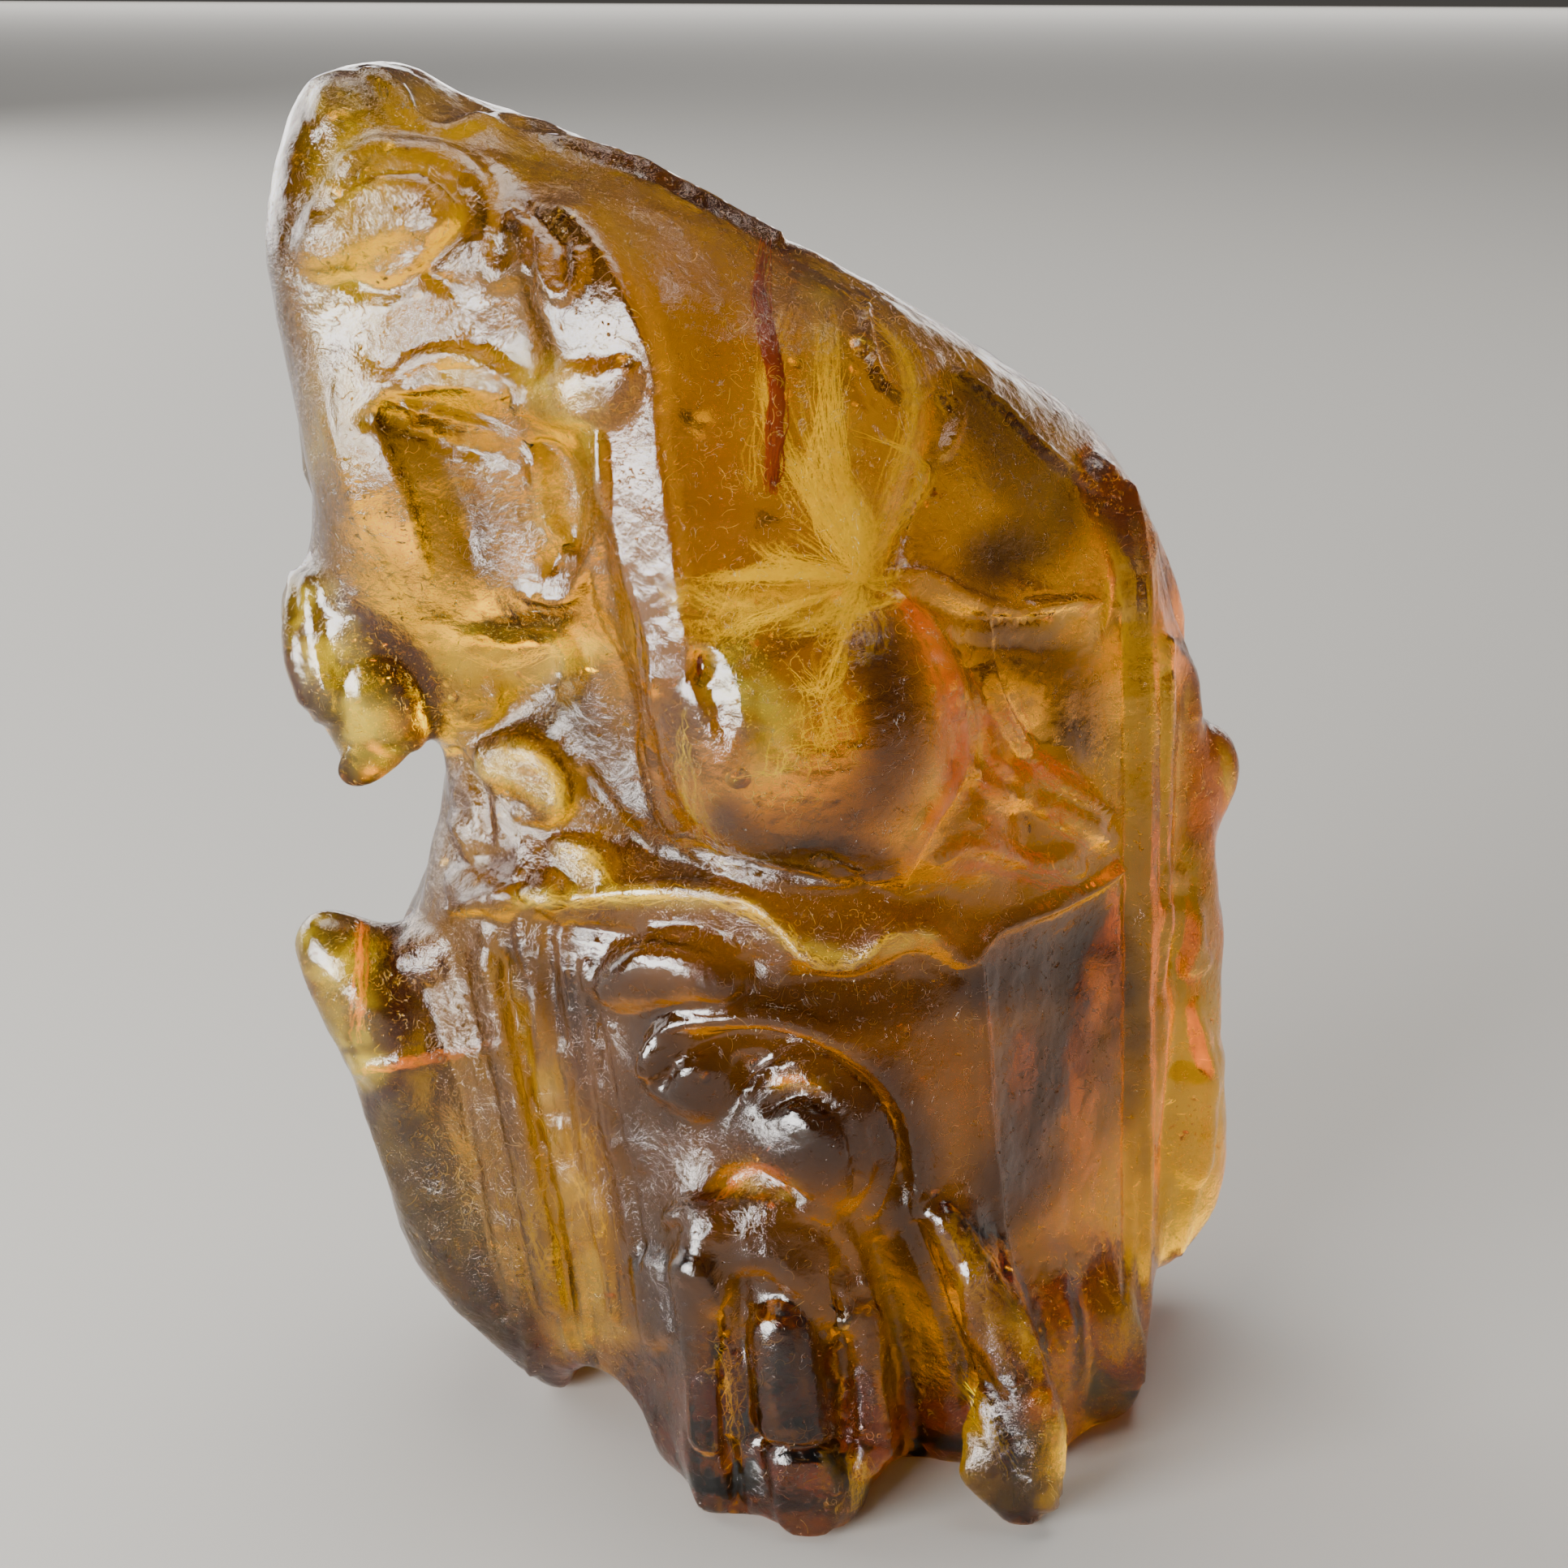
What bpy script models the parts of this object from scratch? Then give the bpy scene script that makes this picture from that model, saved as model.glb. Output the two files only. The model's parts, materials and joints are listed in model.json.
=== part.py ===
"""A lump of amber that stands on its own feet, with three small insects sealed in it.

The lump is one natural solid: a leaning upper mass with a hooked jaw and a hanging
belly, a pinched neck, and a heavy lower body with a side horn, a round boss, a leg
block, a claw and a strip down its right side.  It is parted in two along a slanting
plane that runs through the three pockets, so that a gnat, a midge and an ant can each
lie in a pocket of its own.  Lengths in the tables are millimetres.
"""

import math

import bmesh
import bpy
from mathutils import Matrix, Vector
from mathutils.bvhtree import BVHTree

MM = 0.001

# driving dimensions, in millimetres
ORIGIN_SHIFT = (2.0, -0.5, 0.4)
GRAIN = 0.85
FINE_GRAIN = 0.75
LUMP_FACES = 7300
INSECT_FACES = 300
INSECT_GRAIN = 0.045
PARTING_GAP = 0.3
PARTING_POINT = (-8.8, 0.0, 85.9)
PARTING_SLOPE = 0.733

# The insects: where each lies and how far it is turned in the front view, in degrees.
GNAT_PLACE = (-8.8, -16.6, 85.9)
GNAT_TURN = -32.0
MIDGE_PLACE = (-3.6, -16.6, 78.8)
MIDGE_TURN = 172.0
ANT_PLACE = (15.6, -6.4, 52.6)
ANT_TURN = -56.0

# Insect bodies in millimetres from their middle: x runs from tail to head, z is up
# across the body, and -y is its back.  Lumps are a centre and half sizes.
GNAT_BODY = (
    ((0.68, 0, 0), (0.17, 0.17, 0.19)), ((0.36, -0.04, 0), (0.3, 0.28, 0.25)),
    ((-0.2, 0.02, 0), (0.46, 0.17, 0.17)), ((-0.36, -0.2, 0.24), (0.56, 0.07, 0.2)),
    ((-0.36, -0.2, -0.24), (0.56, 0.07, 0.2)))
GNAT_LEGS = (
    ((0.46, 0.1, 0.16, 0.07), (0.66, 0.22, 0.42, 0.06), (0.72, 0.34, 0.6, 0.055)),
    ((0.46, 0.1, -0.16, 0.07), (0.66, 0.22, -0.42, 0.06), (0.72, 0.34, -0.6, 0.055)),
    ((0.24, 0.12, -0.16, 0.07), (0.1, 0.28, -0.46, 0.06), (-0.1, 0.38, -0.62, 0.055)))
GNAT_POCKET = (1.35, 0.86, 1.0)
MIDGE_BODY = (
    ((0.4, 0, 0), (0.12, 0.12, 0.12)), ((0.2, -0.02, 0), (0.18, 0.17, 0.15)),
    ((-0.14, 0, 0), (0.3, 0.11, 0.1)), ((-0.18, -0.1, 0.16), (0.32, 0.06, 0.1)),
    ((-0.18, -0.1, -0.16), (0.32, 0.06, 0.1)))
MIDGE_LEGS = (
    ((0.24, 0.04, 0.1, 0.05), (0.36, 0.14, 0.28, 0.05), (0.46, 0.2, 0.38, 0.05)),
    ((0.14, 0.04, -0.1, 0.05), (0.04, 0.14, -0.28, 0.05), (-0.08, 0.2, -0.38, 0.05)))
MIDGE_POCKET = (0.95, 0.7, 0.85)
ANT_BODY = (
    ((0.56, 0, 0), (0.19, 0.16, 0.17)), ((0.24, 0, 0), (0.22, 0.13, 0.13)),
    ((0, 0, 0), (0.1, 0.09, 0.09)), ((-0.36, 0, 0), (0.34, 0.22, 0.22)))
ANT_LEGS = (
    ((0.7, 0, 0.06, 0.05), (0.82, -0.06, 0.2, 0.05), (0.92, -0.04, 0.26, 0.05)),
    ((0.34, 0.04, 0.1, 0.055), (0.46, 0.14, 0.3, 0.05), (0.4, 0.24, 0.46, 0.05)),
    ((0.2, 0.04, -0.1, 0.055), (0.14, 0.16, -0.3, 0.05), (0, 0.24, -0.46, 0.05)),
    ((0.14, 0.04, 0.1, 0.055), (0, 0.16, 0.28, 0.05), (-0.14, 0.24, 0.4, 0.05)))
ANT_POCKET = (1.35, 0.68, 0.95)

# Level sections of the leaning upper mass and the lower body.  Each is a height and
# thirteen points (x, y) taken round it: left edge, left front, cheek, cheek inner side,
# foot of the long ridge, its crest, its right shoulder, middle of the front, right of
# the front, right edge, back right, back, back left.
SECTIONS = (
    (108.6, ((-35.6, -4), (-35.2, -6.5), (-34, -7.8), (-32.5, -7.5), (-31.2, -6.5),
             (-30.2, -5), (-29.6, -3), (-29.2, -1), (-29.2, 1), (-29.6, 3),
             (-31, 4), (-33, 3.5), (-35, 0))),
    (106.0, ((-36.9, -4.5), (-36.4, -8), (-34.6, -9.8), (-32, -10), (-29.6, -9),
             (-28, -7.2), (-27, -4.5), (-26.2, -1.5), (-25.8, 1.5), (-25.8, 4.5),
             (-28, 7.8), (-32, 7.6), (-36.2, 2))),
    (103.0, ((-37.9, -5), (-37.2, -9.4), (-34.6, -11.6), (-31, -11.8), (-28, -11.6),
             (-25, -11), (-22.4, -9), (-19.6, -5), (-17.6, -1), (-16.8, 4),
             (-21, 9), (-30, 10), (-37.2, 4))),
    (99.0, ((-39, -5), (-38, -10), (-35, -12.6), (-30.6, -13), (-25, -13.6),
            (-20, -15.4), (-16, -15), (-12.4, -10.6), (-9.6, -4), (-8.2, 2.6),
            (-13, 9.6), (-26, 12.6), (-38, 5.4))),
    (95.0, ((-39.3, -5), (-38, -10.4), (-34.5, -12.8), (-28, -13.8), (-21.4, -16),
            (-16.6, -19.6), (-12.4, -18.8), (-7.2, -14), (-3.6, -6.6), (-0.6, 2),
            (-7, 10.4), (-22, 14.6), (-38, 6.4))),
    (90.0, ((-38.7, -5), (-37, -10.6), (-33, -13), (-26.4, -13.8), (-19, -15.8),
            (-14.6, -20.6), (-9.4, -19.8), (-2, -17), (4.6, -10), (9.4, 1.6),
            (2, 12), (-19, 16.4), (-37, 7.4))),
    (85.0, ((-37.9, -5), (-36, -11), (-32, -13.6), (-25, -13.6), (-17.6, -15.4),
            (-13, -21), (-7.6, -20.4), (1, -17.4), (8.4, -11), (16.4, 3.4),
            (8, 14), (-16, 18.4), (-36.4, 8.6))),
    (80.0, ((-37.3, -5), (-35, -11.4), (-31, -13.8), (-24, -13), (-16.4, -15.4),
            (-12, -21.6), (-6.4, -21), (2, -17.8), (9.6, -11.6), (22.4, 4.6),
            (14, 16), (-12, 20.2), (-35.6, 9.6))),
    (74.0, ((-37.2, -5), (-34, -11), (-29, -13), (-22, -12.4), (-15.4, -15.6),
            (-10.6, -22.4), (-5, -22.6), (3, -19.4), (11.4, -12), (26.6, 4.6),
            (20, 18), (-8, 21.8), (-34, 10))),
    (68.0, ((-37.6, -5.4), (-35.6, -9), (-30, -9.8), (-22, -9), (-14, -14.4),
            (-9.4, -22.8), (-3.6, -24.6), (4.4, -22), (13, -12.4), (28, 3.8),
            (25, 19), (-3, 23.4), (-31, 10))),
    (62.5, ((-35.6, -4), (-33, -7.8), (-28, -8.4), (-20, -8.6), (-12.8, -14.6),
            (-8.4, -23.4), (-2.4, -25.2), (5.6, -22.8), (14.4, -12.6), (28.8, 3),
            (28, 19), (0, 24.2), (-28, 11))),
    (57.5, ((-28.8, 0), (-27.4, -4.4), (-24.6, -7.6), (-18.6, -9.6), (-11.4, -15),
            (-7, -22.6), (-1, -24.6), (6.8, -22.2), (15.2, -12.4), (29, 3),
            (29.4, 19), (2, 24.8), (-25, 13))),
    (53.6, ((-29.3, 0), (-27.8, -4.8), (-24.6, -8.2), (-18, -10.6), (-11, -14),
            (-6, -18.4), (0.4, -20.4), (8, -19.2), (16, -12), (29.2, 2.6),
            (30.2, 19.4), (4, 25), (-25, 14.4))),
    (49.0, ((-30.2, -0.4), (-29, -5.2), (-25.6, -9), (-18, -12.8), (-11, -15.4),
            (-4.4, -17.4), (2, -18.2), (9.4, -16.8), (16.8, -11.2), (29.2, 2.4),
            (31, 19.2), (5, 25.2), (-26, 15))),
    (44.0, ((-31.2, -1), (-30, -6), (-26, -9.6), (-18.4, -13.2), (-10.4, -16.8),
            (-3, -18.8), (4, -18.8), (12.2, -15.6), (20, -7), (29.4, 2.2),
            (32, 18.6), (5, 25), (-27, 15.4))),
    (37.0, ((-33.8, -2), (-31.2, -6.8), (-26.2, -9.2), (-18.4, -12.6), (-9.8, -17.6),
            (-1, -19.6), (5.8, -19.2), (13, -15.6), (21, -7.2), (29.6, 2),
            (33, 17.6), (4, 24.4), (-29, 15))),
    (30.0, ((-37.2, -4), (-33.4, -7.8), (-26.4, -9.2), (-18.4, -12.2), (-9.8, -17.6),
            (-1, -19.8), (6.6, -18.8), (13.7, -15.6), (21.2, -8), (29.7, 1.6),
            (33.6, 16.4), (3, 23.6), (-30, 14))),
    (22.0, ((-35.5, -4.4), (-32, -7.8), (-25.6, -9.2), (-18, -12), (-10, -17.8),
            (-1, -20.2), (7, -18.2), (14.6, -15.6), (21.6, -8.4), (29.7, 1),
            (33.4, 15), (2, 22.6), (-29, 13))),
    (14.0, ((-32.8, -4.8), (-30, -8), (-24, -9.2), (-17, -12), (-10, -18),
            (-1, -20.4), (7.4, -17.6), (16.2, -16), (22.6, -9.4), (29.7, 0),
            (31.6, 12.6), (1, 20.6), (-27, 11))),
    (8.0, ((-29.6, -5), (-27.4, -7.8), (-22, -9), (-15.6, -12.4), (-10, -18.4),
           (-1, -20.8), (7.6, -17.4), (17.6, -15.8), (23.4, -10.6), (29.7, -1.4),
           (28.4, 10), (0, 18.6), (-24, 9))),
    (3.5, ((-25.8, -4.6), (-24.6, -6.8), (-20.6, -7.8), (-14.8, -12.6), (-10, -18.6),
           (-1, -21.2), (7.6, -17.6), (18.6, -15.4), (24, -11.4), (29.4, -2.6),
           (24.6, 8.4), (0, 17.4), (-20, 8))),
    (-1.0, ((-22.6, -3.4), (-21.6, -5), (-19, -6), (-14.4, -11.6), (-9.6, -18.4),
            (-1, -21.2), (7.6, -17.4), (18.4, -15), (23.6, -11.6), (28, -4),
            (21, 7), (0, 15.8), (-17, 6.6))),
)

# Free runs of resin, which make the outline: points (x, y, z, half width).
RUNS = {
    "jaw": ((-32.6, -4, 74, 5.4), (-33.6, -5.6, 69, 5.3), (-34.1, -6.4, 64.5, 4.9),
            (-33.2, -7, 60.6, 4.2), (-33, -7.4, 58.8, 3.1)),
    "jaw tip": ((-32.6, -7.4, 58.8, 2.6), (-33.8, -7.8, 57.2, 1.7), (-35.2, -8.2, 56.4, 1.1),
                (-36.2, -8.4, 56.9, 0.6)),
    "jaw lip": ((-37.2, -5.6, 73.2, 1), (-37.8, -6.6, 69.5, 1.5), (-37.7, -7.4, 65, 1.5),
                (-36.8, -7.8, 61.4, 0.9)),
    "chin drip": ((-25, -4, 66, 2.6), (-25, -4.4, 61.6, 1.9), (-24.9, -4.6, 60.2, 1.2)),
    "horn": ((-31, -4, 31, 6.2), (-33.4, -4.4, 35, 5.8), (-36.4, -4.8, 39.2, 4.7),
             (-38.4, -5, 41.4, 3.4)),
    "right strip": ((27, 9, 66, 3), (28.2, 10, 60, 4), (29.4, 10.4, 53, 4.2),
                    (30.2, 10.6, 44, 4.8), (30.8, 10.4, 35, 5.2), (31.2, 10.2, 26, 5.4),
                    (31.6, 10, 17, 5.8), (32, 9.6, 12, 5.4), (30.4, 8.4, 8, 4.4)),
    "right rounded edge": ((24, 1.6, 78, 2.4), (26.4, 1.4, 68, 2.5), (27.1, 0.8, 54, 2.5),
                           (27.4, 0.2, 38, 2.5), (27.4, -0.6, 22, 2.5), (27, -2.4, 8, 2.6),
                           (25.4, -5.6, 2.4, 2.4)),
    "peak rim": ((-34.8, -7, 106.6, 1.2), (-32, -7.8, 107.8, 1.4), (-29.2, -7.8, 106.4, 1.4),
                 (-27.6, -7.8, 104.4, 1.3), (-24.6, -6, 104, 1.2), (-21, -3.6, 103.4, 1.3),
                 (-14, -1, 101, 1.4), (-6.6, 0.6, 97.1, 1.4), (0, 1, 94, 1.4),
                 (6, 1.6, 90.6, 1.3)),
    "back rim": ((7, 3.6, 89.4, 1.6), (13, 5, 85.2, 1.8), (18, 6, 82, 1.9), (22.6, 6.4, 77.8, 2)),
    "left leg": ((-8, -17.6, 25, 3), (-8.2, -18.8, 17, 3), (-7.8, -19.6, 8, 2.9),
                 (-7, -20.8, 2, 2.8), (-6.9, -21, -1, 2.6)),
    "middle leg": ((-3, -17.6, 25, 3.2), (-2, -20, 18, 3.2), (-1.6, -21, 12, 3.1),
                   (-1.2, -21.6, 7, 3)),
    "right leg edge": ((1.4, -17.8, 24, 2), (3.2, -19.4, 18, 1.6), (4.2, -20.4, 10, 1.5),
                       (4.2, -21, 3, 1.4)),
    "claw": ((8.6, -16.6, 26.4, 1.8), (12, -17.8, 20.8, 2.5), (14.8, -18.8, 15, 2.8),
             (16.8, -20.4, 9, 3), (16.8, -21.8, 4, 2.9), (16.4, -22.4, -0.4, 2.6)),
    "claw web": ((20, -13.6, 12, 2.2), (19.6, -14, 5, 2.4), (19.4, -14, 1, 2.4)),
    "right lobe": ((24.4, -8, 10, 3.2), (25, -8, 4, 3.4), (24.8, -7.4, 0.6, 3.2)),
    "back left run": ((-33, 3, 92, 4), (-33.4, 5, 82, 4.6), (-31, 7, 72, 5),
                      (-27, 10, 62, 5.4), (-25, 12, 50, 5.6), (-26, 12, 38, 6),
                      (-26, 10.6, 24, 5.6), (-23, 8, 12, 4.6)),
    "back foot": ((-9, 12, 9, 4.6), (-8.4, 12.6, 3, 4.6), (-8.4, 12.4, 0, 4.4)),
    "back right foot": ((14, 9, 10, 4.6), (15, 9.4, 3, 4.8), (15, 9.2, 0, 4.6)),
}

# Rounded lumps: centre (x, y, z) and half sizes along x, y and z.
LUMPS = {
    "back of the peak": ((-28, 2.6, 103.4), (4.4, 4.6, 3.9)),
    "belly": ((1, -14, 64), (11.2, 11, 11.2)),
    "belly lower": ((0.4, -13, 58.8), (9.8, 9.4, 6.2)),
    "centre foot": ((0.2, -20.6, 2), (4.8, 5.1, 7.2)),
    "right lump": ((34.4, 13, 49.6), (2.9, 3.2, 4.7)),
    "right upper bead": ((30.6, 10.6, 59.6), (2.2, 2.6, 3)),
    "left lobe": ((-28.6, -2, 19), (6.6, 6, 12)),
    "left lobe end": ((-22.6, -2.6, 6), (4.6, 4.6, 4)),
    "back upper lump": ((-2, 13, 79), (6.6, 6, 6)),
    "back lower lump": ((1, 17, 30), (9, 6.6, 9)),
    "back side lump": ((24, 13, 30), (7, 7.4, 9)),
}

# Relief laid on the skin as each side shows it: points (x, z, half width, how far proud),
# with y in place of x on the left and right sides.
FRONT_RELIEF = {
    "top curl": ((-34.4, 98.6, 1.3, 0.8), (-32.7, 100.7, 1.4, 1.1), (-29.9, 102.1, 1.5, 1.2),
                 (-27, 102, 1.5, 1.3), (-24.8, 100.6, 1.4, 1.2), (-24.4, 98.6, 1.3, 1.1),
                 (-25.6, 97, 1.2, 0.9), (-27.2, 95.8, 1, 0.6)),
    "curl bump": ((-31, 97.6, 2.2, 1), (-28.4, 98.6, 2, 1)),
    "brow": ((-30, 86.6, 1.4, 0.8), (-26.4, 88.2, 2, 1.5), (-22.6, 88.4, 2, 1.5),
             (-19.8, 87.2, 1.5, 0.9)),
    "cheek bulge": ((-17.2, 87.2, 3.2, 1.9), (-15.8, 88, 3.2, 1.9)),
    "nose": ((-34, 89.4, 2, 0.9), (-32.8, 84.6, 2.4, 1.5), (-31, 79.4, 2.4, 1.6),
             (-28.8, 74.4, 2, 1.1)),
    "chin": ((-29.4, 73.4, 1.7, 0.9), (-27, 71.4, 1.8, 1.3), (-23.4, 70.8, 1.9, 1.5),
             (-19, 72.2, 1.8, 1.4), (-16.4, 75.6, 1.6, 1), (-15.4, 79.6, 1.3, 0.7)),
    "long ridge": ((-18.8, 99.4, 2.6, 1), (-16.4, 94, 3, 1.1), (-13.8, 86, 2.8, 0.9),
                   (-12, 78, 2.6, 0.9), (-10, 70, 2.8, 0.9), (-8.4, 65, 2.6, 0.6)),
    "belly rim": ((-11.2, 72, 1.6, 0.8), (-10.2, 64, 1.7, 0.9), (-8.4, 58.6, 1.7, 0.8),
                  (-4, 55.6, 1.5, 0.7), (2, 54.6, 1.5, 0.7), (7, 54.6, 1.4, 0.6)),
    "cross fold": ((5.4, 73.6, 1.1, 0.6), (9.6, 72.8, 1.4, 1), (13.8, 70.8, 1.5, 1.2),
                   (18, 69.6, 1.4, 1.1), (22.4, 69.2, 1.3, 0.9)),
    "drape": ((8.6, 71.4, 1.3, 0.7), (11.6, 65.6, 1.6, 1.1), (13.4, 58, 1.6, 1.1),
              (11.6, 51.4, 1.5, 1)),
    "side drape": ((18, 63, 1.2, 0.5), (19.8, 57, 1.5, 0.9), (20.4, 50, 1.5, 0.9)),
    "neck run": ((-18.4, 64, 1.8, 1), (-19.6, 60, 1.7, 1.2), (-23.4, 56.8, 1.7, 1.3),
                 (-24.4, 53, 1.5, 1.1), (-21.2, 51.4, 1.4, 1.1)),
    "neck blob": ((-20.6, 57.2, 2.6, 1.8), (-19, 56.2, 2.4, 1.6)),
    "neck bead": ((-20, 48.9, 1.7, 1.6), (-19.9, 48.6, 1.7, 1.6)),
    "neck fold": ((-28, 56.4, 1.1, 0.7), (-26.6, 52, 1.3, 0.9), (-25.6, 48.6, 1.3, 0.9)),
    "collar": ((-28, 45, 1.3, 0.9), (-22.4, 47.6, 1.5, 1.3), (-18.3, 48.4, 1.5, 1.4),
               (-13.9, 49, 1.6, 1.5), (-9, 49.8, 1.6, 1.6), (-5, 49.2, 1.5, 1.5),
               (-2.4, 47.6, 1.4, 1.3), (0.4, 46.2, 1.4, 1.3), (3.6, 46.4, 1.4, 1.4),
               (6.4, 47.8, 1.5, 1.5), (9, 47.4, 1.4, 1.3), (12, 45.4, 1.4, 1.1),
               (16.6, 45.6, 1.3, 1), (22.2, 45.6, 1.2, 0.8), (26, 46.2, 1, 0.5)),
    "shoulder": ((-11.6, 43.4, 4, 1.7), (-8.6, 43.6, 4, 1.8)),
    "left bulge": ((-9.6, 36.2, 2.8, 1.5), (-8.6, 37.4, 2.8, 1.6)),
    "boss": ((-0.6, 31.6, 4.4, 1.8), (1.4, 32.6, 5, 2.2), (0.4, 30.4, 4, 1.6)),
    "boss ring": ((-13, 34, 1.2, 0.8), (-12.2, 38.6, 1.5, 1.2), (-7.6, 40.8, 1.6, 1.4),
                  (-2, 41, 1.6, 1.4), (4, 39.2, 1.6, 1.4), (7.8, 35, 1.6, 1.3),
                  (9, 29.6, 1.4, 0.8)),
    "edge of the band": ((-29.8, 40, 1.1, 0.8), (-27.2, 32, 1.2, 0.9), (-25.8, 24, 1.2, 0.9),
                         (-24.4, 13.6, 1.2, 0.9), (-23.8, 6, 1, 0.7)),
    "outer drip": ((-25.6, 44, 1.1, 0.9), (-23.4, 34, 1.3, 1.2), (-21.8, 24, 1.2, 1),
                   (-20.6, 14, 1.2, 1), (-19.8, 8.4, 1, 0.7)),
    "middle drip": ((-21.4, 44.6, 1.2, 1), (-19.6, 37, 1.5, 1.5), (-18.4, 30, 1.2, 1),
                    (-17.6, 23, 1.4, 1.3), (-16.4, 15, 1.2, 1), (-15.6, 10, 1, 0.7)),
    "inner drip": ((-17, 44, 1.2, 1), (-15.8, 36, 1.3, 1.2), (-15, 29, 1.5, 1.4),
                   (-14, 22, 1.2, 1), (-12.8, 14, 1.3, 1), (-11.8, 8, 1, 0.7)),
    "right crease": ((12.4, 43.4, 1.3, 0.8), (13.4, 34, 1.4, 0.9), (14.6, 24, 1.3, 0.8)),
}
BACK_RELIEF = {
    "middle run": ((-24, 100, 1.6, 0.4), (-20.4, 92, 3.4, 1.4), (-15, 82, 4.8, 2.2),
                   (-13.6, 71, 4, 1.6), (-9.6, 62, 2.2, 0.8)),
    "right run": ((-2, 90, 1.8, 0.5), (5, 83, 3.2, 1.4), (12.6, 74, 4.8, 2.4),
                  (14, 65, 4.4, 2), (10, 59, 2.4, 0.8)),
    "crossing run": ((12, 68, 2, 0.8), (4, 71, 2.6, 1.3), (-4, 77, 2.4, 1.1),
                     (-8, 84, 1.6, 0.5)),
    "lower middle run": ((-7, 49, 2, 0.8), (-11, 40, 4.4, 1.8), (-12, 30, 5, 2.2),
                         (-8.6, 19, 3.6, 1.4), (-8, 11, 2.6, 0.8)),
    "lower right run": ((10, 51, 2.2, 0.7), (16, 43, 4.6, 1.8), (15.4, 31, 5, 2.2),
                        (10.6, 21, 3.4, 1.4), (13, 11, 2.4, 0.8)),
    "back fold": ((-30, 60, 1.6, 0.6), (-20, 56.6, 2.6, 1.4), (-8, 54, 2.2, 1.1),
                  (3, 55.2, 3, 1.7), (14, 57.4, 2.4, 1.2), (24, 62, 1.6, 0.5)),
    "upper bead": ((-8.4, 92, 2.6, 1.2), (-6, 89.6, 2.2, 1)),
    "lower bead": ((2.6, 23, 2.8, 1.6), (3.8, 18.6, 2.2, 1.1)),
    "left bead": ((-25, 33, 3, 1.3), (-24, 28, 3.4, 1.5)),
}

LEFT_RELIEF = {
    "cheek side run": ((2, 97, 1.6, 0.5), (4.4, 87, 3.2, 1.4), (3, 77, 3.6, 1.7),
                       (6.4, 67, 2.4, 0.9)),
    "left low run": ((9.6, 46, 2, 0.6), (6.4, 36, 3.2, 1.4), (4.8, 24, 3.4, 1.6),
                     (2, 14, 2.2, 0.8)),
    "left waist bead": ((11, 60, 2.6, 1.2), (9.6, 56.6, 2.2, 1)),
}
RIGHT_RELIEF = {
    "right shoulder run": ((9.6, 79, 1.8, 0.6), (14, 70, 3.2, 1.6), (14.6, 61, 3, 1.4),
                           (18, 53, 2, 0.7)),
    "right low run": ((18.4, 41, 2.4, 0.9), (17.6, 29, 3.4, 1.6), (15, 16, 2.4, 0.9)),
    "strip beads": ((11, 37, 2, 0.8), (10.4, 34, 1.8, 0.7)),
}

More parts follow.
